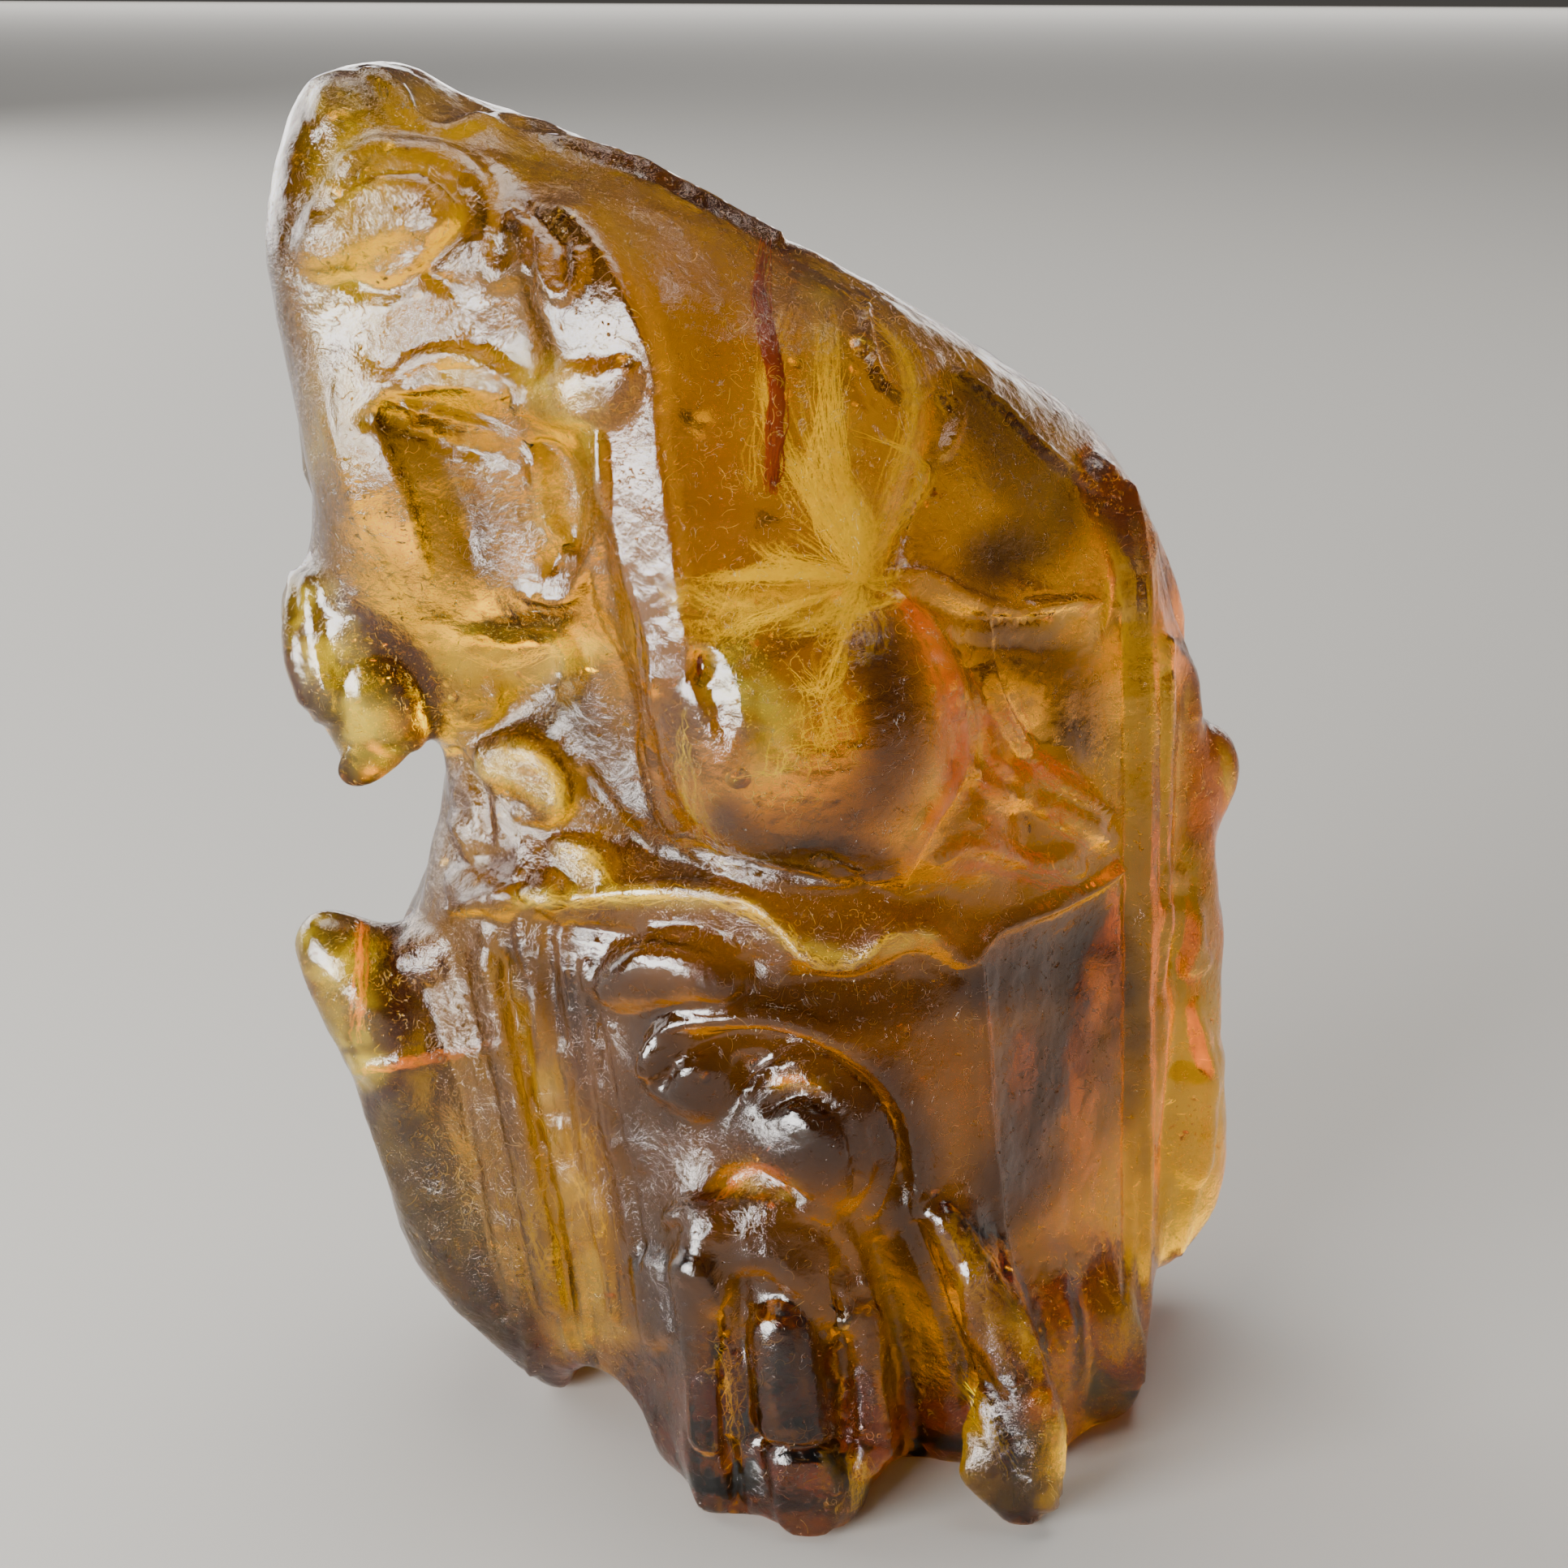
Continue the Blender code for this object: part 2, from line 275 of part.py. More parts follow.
# Grooves and hollows pressed into the skin: points (x, z, half width, how deep), with y
# in place of x on the left and right sides.
FRONT_GROOVES = {
    "above the curl": ((-36, 97, 1, 0.6), (-34.6, 101.4, 1.1, 0.8), (-31, 104.4, 1.2, 0.9),
                       (-26, 104, 1.1, 0.8), (-22.6, 101, 1.2, 1), (-22.4, 97.4, 1.3, 1.1),
                       (-24.4, 94.6, 1.2, 0.9)),
    "inside the curl": ((-26.6, 99.4, 1, 1), (-27.8, 100.2, 1, 0.9), (-32, 99.2, 1, 0.7)),
    "under the brow": ((-30.4, 84.4, 1.3, 1), (-26.4, 85.2, 1.7, 1.5), (-22.4, 84.8, 1.6, 1.4)),
    "drop hollow": ((-18.2, 83.6, 1.1, 1), (-18, 80, 1.7, 1.6), (-18.2, 76.8, 2, 1.8)),
    "face hollow": ((-26.4, 81.4, 1.6, 1), (-25.2, 77.6, 2, 1.4), (-24.4, 74.6, 1.4, 1)),
    "ridge foot": ((-21, 96.6, 1.2, 0.8), (-19.6, 91.8, 1.3, 0.9)),
    "pit": ((-7.9, 70.5, 1.3, 2), (-7.7, 70.1, 1.3, 2)),
    "right groove": ((9.8, 87.6, 1.6, 0.5), (8.8, 82, 2.6, 1.1), (7.2, 77.6, 2.4, 1.1),
                     (5.2, 74.8, 1.6, 0.6)),
    "under the fold": ((8, 70.6, 1.3, 0.9), (13, 68.2, 1.6, 1.1), (19, 66.6, 1.4, 0.9)),
    "belly side": ((9.6, 67, 1.3, 0.8), (11, 61, 1.5, 1.1), (10.4, 55, 1.5, 1.1)),
    "drape groove": ((15, 64, 1.4, 0.8), (16.8, 57, 1.8, 1.2), (16.2, 49.6, 1.7, 1.2)),
    "outer drape groove": ((23, 62, 1.3, 0.7), (23.6, 55, 1.6, 1), (24, 49, 1.5, 0.9)),
    "under the belly": ((-17, 52.6, 1.8, 1.6), (-11, 52.6, 2, 2), (-4, 52.2, 1.9, 2.2),
                        (3, 50.4, 1.8, 2), (8, 51, 1.6, 1.6), (13, 48.8, 1.3, 0.9)),
    "beside the belly": ((-17.4, 74.6, 1.4, 1), (-14.6, 68, 1.9, 1.6), (-13.8, 61.6, 2, 1.8),
                         (-12.8, 56.4, 1.8, 1.7)),
    "neck hollow": ((-27.4, 60.6, 1.6, 0.9), (-22.4, 61.6, 2, 1.4), (-18, 67, 2.2, 1.6),
                    (-22, 66.6, 2, 1.2)),
    "neck side": ((-29, 52, 1.5, 0.9), (-27.6, 49.4, 1.6, 1.2), (-23.6, 49.8, 1.4, 1.2)),
    "under the collar": ((-1.4, 43.8, 1.6, 1), (4, 43.6, 1.8, 1.2), (9, 44.4, 1.5, 1)),
    "drip groove one": ((-24.2, 41, 1.2, 0.5), (-21.6, 31, 1.4, 0.7), (-20, 20, 1.4, 0.7),
                        (-18.6, 11, 1.2, 0.5)),
    "drip groove two": ((-19.2, 42, 1.2, 0.5), (-17.2, 31, 1.4, 0.7), (-15.6, 20, 1.4, 0.7),
                        (-14, 12, 1.2, 0.5)),
    "boss groove": ((-5, 27.6, 1.1, 1), (-6, 32.4, 1.2, 1.3), (-4, 37.4, 1.2, 1.3),
                    (0.8, 38.8, 1.2, 1.3), (5, 36.8, 1.2, 1.3), (7, 32.6, 1.2, 1.2),
                    (6.6, 27.4, 1.1, 1)),
    "door": ((-4.8, 28.4, 1.3, 1.1), (-3.2, 28.4, 1.4, 1.2)),
    "slot one": ((-5.8, 20, 1, 0.8), (-5.8, 15, 1.2, 1.9), (-5.6, 10, 1.2, 2.3),
                 (-5.2, 5, 1.2, 2.6), (-5, 1, 1.2, 2.6)),
    "slot two": ((0.9, 21.4, 1, 0.8), (1.6, 16, 1.2, 1.9), (2, 11, 1.1, 1.6)),
    "above the foot": ((-2.8, 10, 0.8, 0.5), (1, 10.2, 0.8, 0.6), (4.4, 9.8, 0.8, 0.5)),
    "claw recess": ((5.6, 22.6, 1.4, 1.2), (7.4, 15, 2.1, 2.4), (8.6, 7, 2.6, 2.6),
                    (9, 1, 2.6, 2.4)),
    "claw outer side": ((13.6, 25, 1.2, 0.8), (17.4, 17.6, 1.4, 1.1), (20.6, 9.6, 1.3, 1)),
    "side of the band": ((-31.6, 39, 1.2, 0.7), (-29.4, 31, 1.4, 0.9), (-27.8, 20, 1.4, 0.9),
                         (-26.4, 11, 1.2, 0.6)),
    "strip groove": ((31, 60, 1.5, 0.9), (31.2, 50, 1.6, 1.1), (31.3, 38, 1.6, 1.2),
                     (31.4, 24, 1.6, 1.2), (31, 13, 1.5, 0.9)),
}
BACK_GROOVES = {
    "upper groove": ((-29, 92, 2, 0.4), (-25, 82, 3, 1.1), (-23.6, 72, 2.8, 1.1),
                     (-20, 64, 2, 0.5)),
    "middle groove": ((-7, 80, 2, 0.5), (-4.4, 72, 3.2, 1.3), (0.6, 65, 2.6, 0.9)),
    "under the back fold": ((-29, 55, 1.6, 0.6), (-20, 52, 2.2, 1.3), (-9, 49.4, 2, 1),
                            (2, 50, 2.4, 1.5), (14, 52, 2.2, 1.2), (24, 57, 1.6, 0.5)),
    "lower left groove": ((-17, 45, 2, 0.6), (-19.4, 35, 2.8, 1.3), (-18, 24, 2.6, 1.2),
                          (-15, 16, 2, 0.5)),
    "lower middle groove": ((4.6, 44, 2.2, 0.6), (3, 36, 2.8, 1.3), (4.6, 29, 2.2, 0.9)),
    "side groove": ((24, 52, 1.8, 0.5), (22.6, 42, 2.6, 1.1), (24, 31, 2.4, 1)),
}

LEFT_GROOVES = {
    "cheek side groove": ((-1, 91, 1.6, 0.5), (-1.4, 81, 2.4, 1), (0.4, 71, 2, 0.7)),
    "left low groove": ((0.8, 33, 1.8, 0.6), (-0.6, 25, 2.4, 1), (-1.6, 16, 1.8, 0.6)),
    "left waist": ((0, 51, 1.6, 0.6), (7, 49.6, 2.6, 1.3), (15, 50.6, 2, 0.7)),
}
RIGHT_GROOVES = {
    "right shoulder groove": ((9, 73, 1.6, 0.6), (9.4, 66, 2, 1), (14.6, 56, 1.8, 0.8)),
    "right low groove": ((15, 45, 1.6, 0.6), (14.4, 34, 2, 1.1), (14, 21, 1.8, 0.8)),
}

# Hollows from below, cut with free round tools: points (x, y, z, half width).
HOLLOWS = {
    "arch": ((-15.4, -22, 0.2, 3), (-16.2, -14, 1, 3.6), (-16.6, -8, 1.2, 3.9),
             (-15, 0, 0.4, 3.8), (-11, 5, -1, 3)),
    "between foot and claw": ((8.4, -27, -1, 2.4), (8.4, -21, -0.6, 2.6), (8, -17, -1.6, 2.4)),
    "underside hollow": ((1, -10, -1.6, 3.4), (4, -2, -1.4, 4.2), (4, 6, -1.8, 3.4)),
    "side undercut": ((30, 1, -1, 3), (33, 8, 0, 3.6), (34, 16, 1, 3.6)),
}


def millimetres(point):
    return Vector((point[0] * MM, point[1] * MM, point[2] * MM))


def through(points, closed, steps):
    """Points along a smooth curve that passes through the given ones."""
    count = len(points)
    spans = count if closed else count - 1
    made = []
    for i in range(spans):
        if closed:
            a, b, c, d = (Vector(points[(i + k) % count]) for k in (-1, 0, 1, 2))
        else:
            b, c = Vector(points[i]), Vector(points[i + 1])
            a = Vector(points[i - 1]) if i else 2 * b - c
            d = Vector(points[i + 2]) if i + 2 < count else 2 * c - b
        for k in range(steps):
            t = k / steps
            made.append(0.5 * (2 * b + (c - a) * t
                               + (2 * a - 5 * b + 4 * c - d) * t * t
                               + (3 * b - a - 3 * c + d) * t * t * t))
    if not closed:
        made.append(Vector(points[-1]))
    return made


def new_object(name, mesh):
    obj = bpy.data.objects.new(name, mesh)
    bpy.context.scene.collection.objects.link(obj)
    return obj


def mesh_from(name, shape):
    bmesh.ops.recalc_face_normals(shape, faces=shape.faces)
    mesh = bpy.data.meshes.new(name)
    shape.to_mesh(mesh)
    shape.free()
    return new_object(name, mesh)


def bridge(shape, rings):
    """Walls between one closed ring and the next, and a cap at each end."""
    for low, high in zip(rings, rings[1:]):
        count = len(low)
        for i in range(count):
            j = (i + 1) % count
            shape.faces.new((low[i], low[j], high[j], high[i]))
    shape.faces.new(rings[0])
    shape.faces.new(list(reversed(rings[-1])))


def lofted(name, sections, around=4, between=3):
    """A closed solid through level sections, smooth both round and up."""
    columns = []
    for k in range(len(sections[0][1])):
        columns.append([(p[k][0], p[k][1], z) for z, p in sections])
    columns = [through(column, False, between) for column in columns]
    shape = bmesh.new()
    rings = []
    for level in range(len(columns[0])):
        ring = through([column[level] for column in columns], True, around)
        rings.append([shape.verts.new(millimetres(p)) for p in ring])
    bridge(shape, rings)
    return mesh_from(name, shape)


def run(name, points, sides=12, steps=4):
    """A rounded run along a smooth route, as wide as its points say."""
    route = through([Vector(p) for p in points], False, steps)
    shape = bmesh.new()
    rings = []
    across = Vector((1.0, 0.0, 0.0))
    for i, p in enumerate(route):
        ahead = route[min(i + 1, len(route) - 1)].to_3d()
        behind = route[max(i - 1, 0)].to_3d()
        along = (ahead - behind).normalized()
        across = (across - along * across.dot(along)).normalized()
        up = along.cross(across)
        wide = max(p[3], 0.03)
        ring = []
        for k in range(sides):
            turn = math.tau * k / sides
            side = across * math.cos(turn) + up * math.sin(turn)
            ring.append(shape.verts.new(millimetres(p.to_3d() + side * wide)))
        rings.append(ring)
    bridge(shape, rings)
    obj = mesh_from(name, shape)
    for end in (route[0], route[-1]):
        ball = lump(name + " end", end.to_3d(), (max(end[3], 0.03),) * 3, 2)
        obj = joined(name, [obj, ball])
    return obj


def lump(name, centre, half_sizes, rounds=3):
    shape = bmesh.new()
    bmesh.ops.create_icosphere(shape, subdivisions=rounds, radius=1.0)
    for vert in shape.verts:
        vert.co = millimetres([c + r * v for c, r, v in zip(centre, half_sizes, vert.co)])
    return mesh_from(name, shape)


def joined(name, objects):
    """All the given solids as one mesh; they may pass through each other."""
    shape = bmesh.new()
    for obj in objects:
        shape.from_mesh(obj.data)
        bpy.data.objects.remove(obj)
    mesh = bpy.data.meshes.new(name)
    shape.to_mesh(mesh)
    shape.free()
    return new_object(name, mesh)


def worked(obj, kind, **settings):
    """The object after one modifier has been applied to it."""
    tool = obj.modifiers.new(kind.title(), kind)
    for key, value in settings.items():
        setattr(tool, key, value)
    graph = bpy.context.evaluated_depsgraph_get()
    mesh = bpy.data.meshes.new_from_object(obj.evaluated_get(graph))
    obj.modifiers.clear()
    obj.data = mesh
    return obj


def melted(obj, grain, smoothing):
    """One skin over everything in the mesh, then softened."""
    worked(obj, "REMESH", mode="VOXEL", voxel_size=grain * MM, adaptivity=0.0)
    return worked(obj, "SMOOTH", factor=0.5, iterations=smoothing)


def cut_away(obj, tool):
    worked(obj, "BOOLEAN", operation="DIFFERENCE", solver="EXACT", object=tool)
    bpy.data.objects.remove(tool)
    return obj


def kept_largest(obj):
    """Only the largest connected body of the mesh stays."""
    shape = bmesh.new()
    shape.from_mesh(obj.data)
    left = set(shape.verts)
    bodies = []
    while left:
        heap = [left.pop()]
        body = set(heap)
        while heap:
            for edge in heap.pop().link_edges:
                for vert in edge.verts:
                    if vert not in body:
                        body.add(vert)
                        left.discard(vert)
                        heap.append(vert)
        bodies.append(body)
    bodies.sort(key=len)
    spare = [vert for body in bodies[:-1] for vert in body]
    bmesh.ops.delete(shape, geom=spare, context="VERTS")
    shape.to_mesh(obj.data)
    shape.free()
    return obj


def on_skin(skin, points, view, inwards):
    """A route laid on the skin as one side of the lump shows it."""
    into = Vector({"front": (0, 1, 0), "back": (0, -1, 0),
                   "left": (1, 0, 0), "right": (-1, 0, 0)}[view])
    route = []
    for across, z, half, amount in points:
        start = (0, across, z) if into.x else (across, 0, z)
        place, normal, face, far = skin.ray_cast(millimetres(start) - into * 70 * MM, into)
        if place is None:
            continue
        away = (half - amount) if inwards else (amount - half)
        centre = place / MM + normal * away
        route.append((centre.x, centre.y, centre.z, half))
    return route


def skin_runs(body, tables, inwards):
    skin = BVHTree.FromObject(body, bpy.context.evaluated_depsgraph_get())
    made = []
    for view, table in tables.items():
        for name, points in table.items():
            made.append(run(name, on_skin(skin, points, view, inwards)))
    return made


def resin_lump():
    """The whole lump before it is parted, in its own place."""
    pieces = [lofted("mass", SECTIONS)]
    for name, points in RUNS.items():
        pieces.append(run(name, points))
    for name, (centre, half_sizes) in LUMPS.items():
        pieces.append(lump(name, centre, half_sizes))
    body = melted(joined("lump", pieces), GRAIN, 5)
    relief = skin_runs(body, {"front": FRONT_RELIEF, "back": BACK_RELIEF,
                              "left": LEFT_RELIEF, "right": RIGHT_RELIEF}, False)
    body = melted(joined("lump", [body] + relief), FINE_GRAIN, 2)
    tools = skin_runs(body, {"front": FRONT_GROOVES, "back": BACK_GROOVES,
                             "left": LEFT_GROOVES, "right": RIGHT_GROOVES}, True)
    tools += [run(name, points) for name, points in HOLLOWS.items()]
    cutter = melted(joined("grooves", tools), 0.5, 1)
    cut_away(body, cutter)
    melted(body, FINE_GRAIN, 3)
    kept_largest(body)
    faces = sum(len(face.vertices) - 2 for face in body.data.polygons)
    worked(body, "DECIMATE", ratio=LUMP_FACES / faces, use_collapse_triangulate=True)
    return body


def block(name, low, high):
    shape = bmesh.new()
    bmesh.ops.create_cube(shape, size=1.0)
    for vert in shape.verts:
        vert.co = millimetres([(a + b) / 2 + c * (b - a)
                               for a, b, c in zip(low, high, vert.co)])
    return mesh_from(name, shape)


def set_on_floor(body):
    """The top at its full height, feet cut flat, the origin under the middle."""
    for vert in body.data.vertices:
        vert.co += millimetres(ORIGIN_SHIFT)
    return cut_away(body, block("floor", (-70, -70, -40), (70, 70, 0)))


def beyond_the_parting(side):
    """A block that fills all that lies on the far side of the slanting plane."""
    tool = block("far side", (-side * PARTING_GAP / 2, -80, -160), (side * 200, 80, 160))
    turn = Matrix.Rotation(-math.atan(PARTING_SLOPE), 4, "Y")
    place = Matrix.Translation(millimetres(ORIGIN_SHIFT) + millimetres(PARTING_POINT))
    tool.data.transform(place @ turn)
    return tool


def insect(name, lumps, legs, place, turn):
    """One small insect as one closed body, laid in its place."""
    pieces = [lump(name, centre, sizes) for centre, sizes in lumps]
    pieces += [run(name, points, 8, 2) for points in legs]
    obj = melted(joined(name, pieces), INSECT_GRAIN, 1)
    kept_largest(obj)
    faces = sum(len(face.vertices) - 2 for face in obj.data.polygons)
    worked(obj, "DECIMATE", ratio=INSECT_FACES / faces, use_collapse_triangulate=True)
    return laid(obj, place, turn)


def laid(obj, place, turn):
    where = millimetres(ORIGIN_SHIFT) + millimetres(place)
    obj.data.transform(Matrix.Translation(where)
                       @ Matrix.Rotation(math.radians(-turn), 4, "Y"))
    return obj


def resin(name, colour):
    material = bpy.data.materials.new(name)
    material.use_nodes = True
    shader = material.node_tree.nodes["Principled BSDF"]
    shader.inputs["Base Color"].default_value = (*colour, 1)
    shader.inputs["Roughness"].default_value = 0.08
    shader.inputs["IOR"].default_value = 1.54
    shader.inputs["Transmission Weight"].default_value = 1.0
    return material


def chitin(name, colour, roughness):
    material = bpy.data.materials.new(name)
    material.use_nodes = True
    shader = material.node_tree.nodes["Principled BSDF"]
    shader.inputs["Base Color"].default_value = (*colour, 1)
    shader.inputs["Roughness"].default_value = roughness
    return material


def main():
    for obj in list(bpy.data.objects):
        bpy.data.objects.remove(obj)
    whole = set_on_floor(resin_lump())
    pockets = []
    for name, lumps, legs, place, turn, pocket, colour in (
            ("gnat", GNAT_BODY, GNAT_LEGS, GNAT_PLACE, GNAT_TURN, GNAT_POCKET,
             (0.09, 0.045, 0.02)),
            ("midge", MIDGE_BODY, MIDGE_LEGS, MIDGE_PLACE, MIDGE_TURN, MIDGE_POCKET,
             (0.05, 0.022, 0.012)),
            ("ant", ANT_BODY, ANT_LEGS, ANT_PLACE, ANT_TURN, ANT_POCKET,
             (0.02, 0.01, 0.008))):
        body = insect(name, lumps, legs, place, turn)
        body.data.materials.clear()
        body.data.materials.append(chitin(name + " shell", colour, 0.45))
        hollow = lump(name + " pocket", (0, 0, 0), pocket, 2)
        pockets.append(laid(hollow, place, turn))
    cut_away(whole, joined("pockets", pockets))
    halves = {"amber_lower": 1, "amber_upper": -1}
    for name, far in halves.items():
        half = new_object(name, whole.data.copy())
        cut_away(half, beyond_the_parting(far))
        kept_largest(half)
        half.data.materials.clear()
        half.data.materials.append(resin(name + " resin", (0.78, 0.33, 0.04)))
        half.data.shade_smooth()
        half.data.set_sharp_from_angle(angle=math.radians(40))
    bpy.data.objects.remove(whole)


main()
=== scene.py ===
"""Looks of the lump of amber: its skin, its clear resin, and what is sealed in it.

Places named by a pair of numbers are points of the 1932 x 1932 photograph.  They are
turned into places on the lump by looking through the camera, so a feature sits on the
skin, or a stated depth under it, where the photograph shows it.
"""

import json
import math
import random

import bmesh
import bpy
import numpy as np
from mathutils import Matrix, Vector
from mathutils.bvhtree import BVHTree

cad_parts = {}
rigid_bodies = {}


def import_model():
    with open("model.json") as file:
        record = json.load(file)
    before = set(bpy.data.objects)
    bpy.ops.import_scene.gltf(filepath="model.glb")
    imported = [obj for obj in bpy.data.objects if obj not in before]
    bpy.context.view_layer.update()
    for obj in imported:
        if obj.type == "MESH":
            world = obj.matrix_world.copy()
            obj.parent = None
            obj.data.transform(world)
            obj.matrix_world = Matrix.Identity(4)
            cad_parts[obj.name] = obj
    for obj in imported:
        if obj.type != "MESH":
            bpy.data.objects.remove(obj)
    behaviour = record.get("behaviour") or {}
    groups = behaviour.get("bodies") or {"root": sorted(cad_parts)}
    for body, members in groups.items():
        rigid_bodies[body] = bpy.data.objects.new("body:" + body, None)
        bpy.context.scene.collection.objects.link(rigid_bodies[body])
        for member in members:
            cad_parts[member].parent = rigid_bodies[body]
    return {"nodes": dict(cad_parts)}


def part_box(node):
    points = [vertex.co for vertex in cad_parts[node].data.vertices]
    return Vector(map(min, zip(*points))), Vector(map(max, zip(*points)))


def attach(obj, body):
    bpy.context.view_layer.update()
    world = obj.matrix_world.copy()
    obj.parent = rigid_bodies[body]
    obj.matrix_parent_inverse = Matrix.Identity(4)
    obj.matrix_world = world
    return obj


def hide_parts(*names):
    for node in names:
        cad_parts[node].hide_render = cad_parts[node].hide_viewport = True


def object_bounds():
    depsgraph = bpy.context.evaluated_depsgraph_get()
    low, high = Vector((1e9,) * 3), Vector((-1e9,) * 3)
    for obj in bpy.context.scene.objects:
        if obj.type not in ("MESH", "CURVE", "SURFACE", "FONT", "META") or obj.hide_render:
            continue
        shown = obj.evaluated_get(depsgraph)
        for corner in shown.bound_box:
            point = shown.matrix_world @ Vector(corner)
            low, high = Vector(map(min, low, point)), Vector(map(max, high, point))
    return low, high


MM = 0.001
PHOTO = 1932
CAMERA_PLACE = Vector((0.0, -0.18844, 0.1218))
CAMERA_AIM = Vector((0.0, -0.0005, 0.0534))
CAMERA_LENS = 57.4
SENSOR = 36.0
# Half of what the camera takes in, as a share of the distance.
HALF_VIEW = SENSOR / 2 / CAMERA_LENS
RESIN_IOR = 1.54

# The plane that parts the two halves: a point on it and the way it faces.
PARTING_PLACE = Vector((-0.0068, -0.0005, 0.0863))
PARTING_NORMAL = Vector((1.0, 0.0, 0.733)).normalized()
# Half the gap between the two halves, and how far each copy's parting face is pushed on.
PARTING_GAP = 0.15 * MM
PARTING_PUSH = 0.45 * MM

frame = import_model()
cad_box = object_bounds()


def only(obj):
    """Make one object the selected and active one."""
    bpy.ops.object.select_all(action="DESELECT")
    obj.select_set(True)
    bpy.context.view_layer.objects.active = obj
    return obj


def new_piece(name, data, material=None):
    """A new object made of a mesh or a curve, selected and active."""
    obj = bpy.data.objects.new(name, data)
    bpy.context.scene.collection.objects.link(obj)
    if material:
        data.materials.append(material)
    return only(obj)


def finished(obj, kind, **settings):
    """Add one modifier, set it and apply it."""
    only(obj)
    tool = obj.modifiers.new(kind.title(), kind)
    for key, value in settings.items():
        setattr(tool, key, value)
    bpy.ops.object.modifier_apply(modifier=tool.name)
    return obj


# Camera, floor and lights.

def photo_camera():
    """The camera, where the photograph was taken from."""
    bpy.ops.object.camera_add(location=CAMERA_PLACE)
    camera = bpy.context.object
    camera.name = "photo_camera"
    camera.data.lens = CAMERA_LENS
    camera.data.sensor_width = SENSOR
    camera.data.clip_start = 5 * MM
    camera.rotation_euler = (CAMERA_AIM - CAMERA_PLACE).to_track_quat("-Z", "Y").to_euler()
    bpy.context.scene.camera = camera
    return camera


def soft_light(name, place, aim, size, watts, colour):
    """A rectangular light that points at a place."""
    bpy.ops.object.light_add(type="AREA", location=place)
    light = bpy.context.object
    light.name = name
    light.data.shape = "RECTANGLE"
    light.data.size, light.data.size_y = size
    light.data.energy = watts
    light.data.color = colour
    light.rotation_euler = (Vector(aim) - Vector(place)).to_track_quat("-Z", "Y").to_euler()
    return light


WARM = (1, 0.98, 0.95)
# The lights: name, place, what each points at, width and height, power in watts, colour.
LIGHTS = (
    ("window", (-0.34, -0.32, 0.11), (0, 0, 0.07), (0.31, 0.21), 9, (1, 0.99, 0.97)),
    ("overhead", (0.0, 0.25, 1.1), (0, 0.05, 0.05), (0.9, 0.7), 13, WARM),
    ("left back", (-0.80, 0.60, 0.36), (0, 0, 0.06), (1.0, 0.7), 16, WARM),
    ("low back", (0.2, 2.4, 0.20), (0, 0, 0.06), (3.0, 0.34), 16, WARM),
)
FLOOR_SIZE, FLOOR_MIDDLE = 5.0, (0, 1.95, 0)
PAPER = (0.39, 0.38, 0.36)
ROOM, ROOM_STRENGTH = (0.34, 0.32, 0.30), 0.35


def studio():
    """A plain pale floor, soft light from all round and four soft lights."""
    bpy.ops.mesh.primitive_plane_add(size=FLOOR_SIZE, location=FLOOR_MIDDLE)
    floor = bpy.context.object
    bpy.ops.object.transform_apply(location=True, rotation=True, scale=True)
    floor.name = "studio_floor"
    paper = bpy.data.materials.new("pale studio paper")
    paper.use_nodes = True
    shader = paper.node_tree.nodes["Principled BSDF"]
    shader.inputs["Base Color"].default_value = (*PAPER, 1)
    shader.inputs["Roughness"].default_value = 0.8
    floor.data.materials.append(paper)
    world = bpy.data.worlds.new("soft room")
    bpy.context.scene.world = world
    world.use_nodes = True
    back = world.node_tree.nodes["Background"]
    back.inputs["Color"].default_value = (*ROOM, 1)
    back.inputs["Strength"].default_value = ROOM_STRENGTH
    for light in LIGHTS:
        soft_light(*light)


# From the photograph to the lump.

ACROSS = Vector((1.0, 0.0, 0.0))
AHEAD = (CAMERA_AIM - CAMERA_PLACE).normalized()
UPWARD = ACROSS.cross(AHEAD)


def sight(u, v):
    """The direction in which the camera sees a point of the photograph."""
    x = (u - PHOTO / 2) / (PHOTO / 2) * HALF_VIEW
    y = (PHOTO / 2 - v) / (PHOTO / 2) * HALF_VIEW
    return (AHEAD + ACROSS * x + UPWARD * y).normalized()


def seen_at(places):
    """Photograph coordinates of many places at once."""
    away = places - np.array(CAMERA_PLACE)
    deep = away @ np.array(AHEAD)
    u = PHOTO / 2 * (1 + (away @ np.array(ACROSS)) / deep / HALF_VIEW)
    v = PHOTO / 2 * (1 - (away @ np.array(UPWARD)) / deep / HALF_VIEW)
    return np.stack([u, v], 1)


def under_skin(skin, u, v, depth):
    """A place a depth in millimetres under the skin, where (u, v) shows it from outside."""
    ray = sight(u, v)
    place, normal, face, far = skin.ray_cast(CAMERA_PLACE, ray)
    if place is None:
        return None
    facing = -ray.dot(normal)
    bend = 1.0 / RESIN_IOR
    inner = math.sqrt(max(0.0, 1 - bend * bend * (1 - facing * facing)))
    inside = (ray * bend + normal * (bend * facing - inner)).normalized()
    behind = skin.ray_cast(place + inside * 0.3 * MM, inside)[3] or 0.02
    return place + inside * min(depth * MM, behind * 0.8)


def seen_through(skin, place):
    """Where the photograph shows a sealed place, its sight line bent by the skin."""
    wanted = seen_at(np.array([place]))[0]
    shown = wanted.copy()
    for k in range(12):
        hit = skin.ray_cast(CAMERA_PLACE, sight(*shown))[0]
        found = under_skin(skin, *shown, (place - hit).length / MM) if hit else None
        if found is None:
            break
        shown += 0.7 * (wanted - seen_at(np.array([found]))[0])
    return shown


# Where the insects show, with the reach in photograph pixels that is kept clear before them.
INSECT_NODES = ("gnat", "midge", "ant")
CLEAR_REACH = 26
clear_views = []


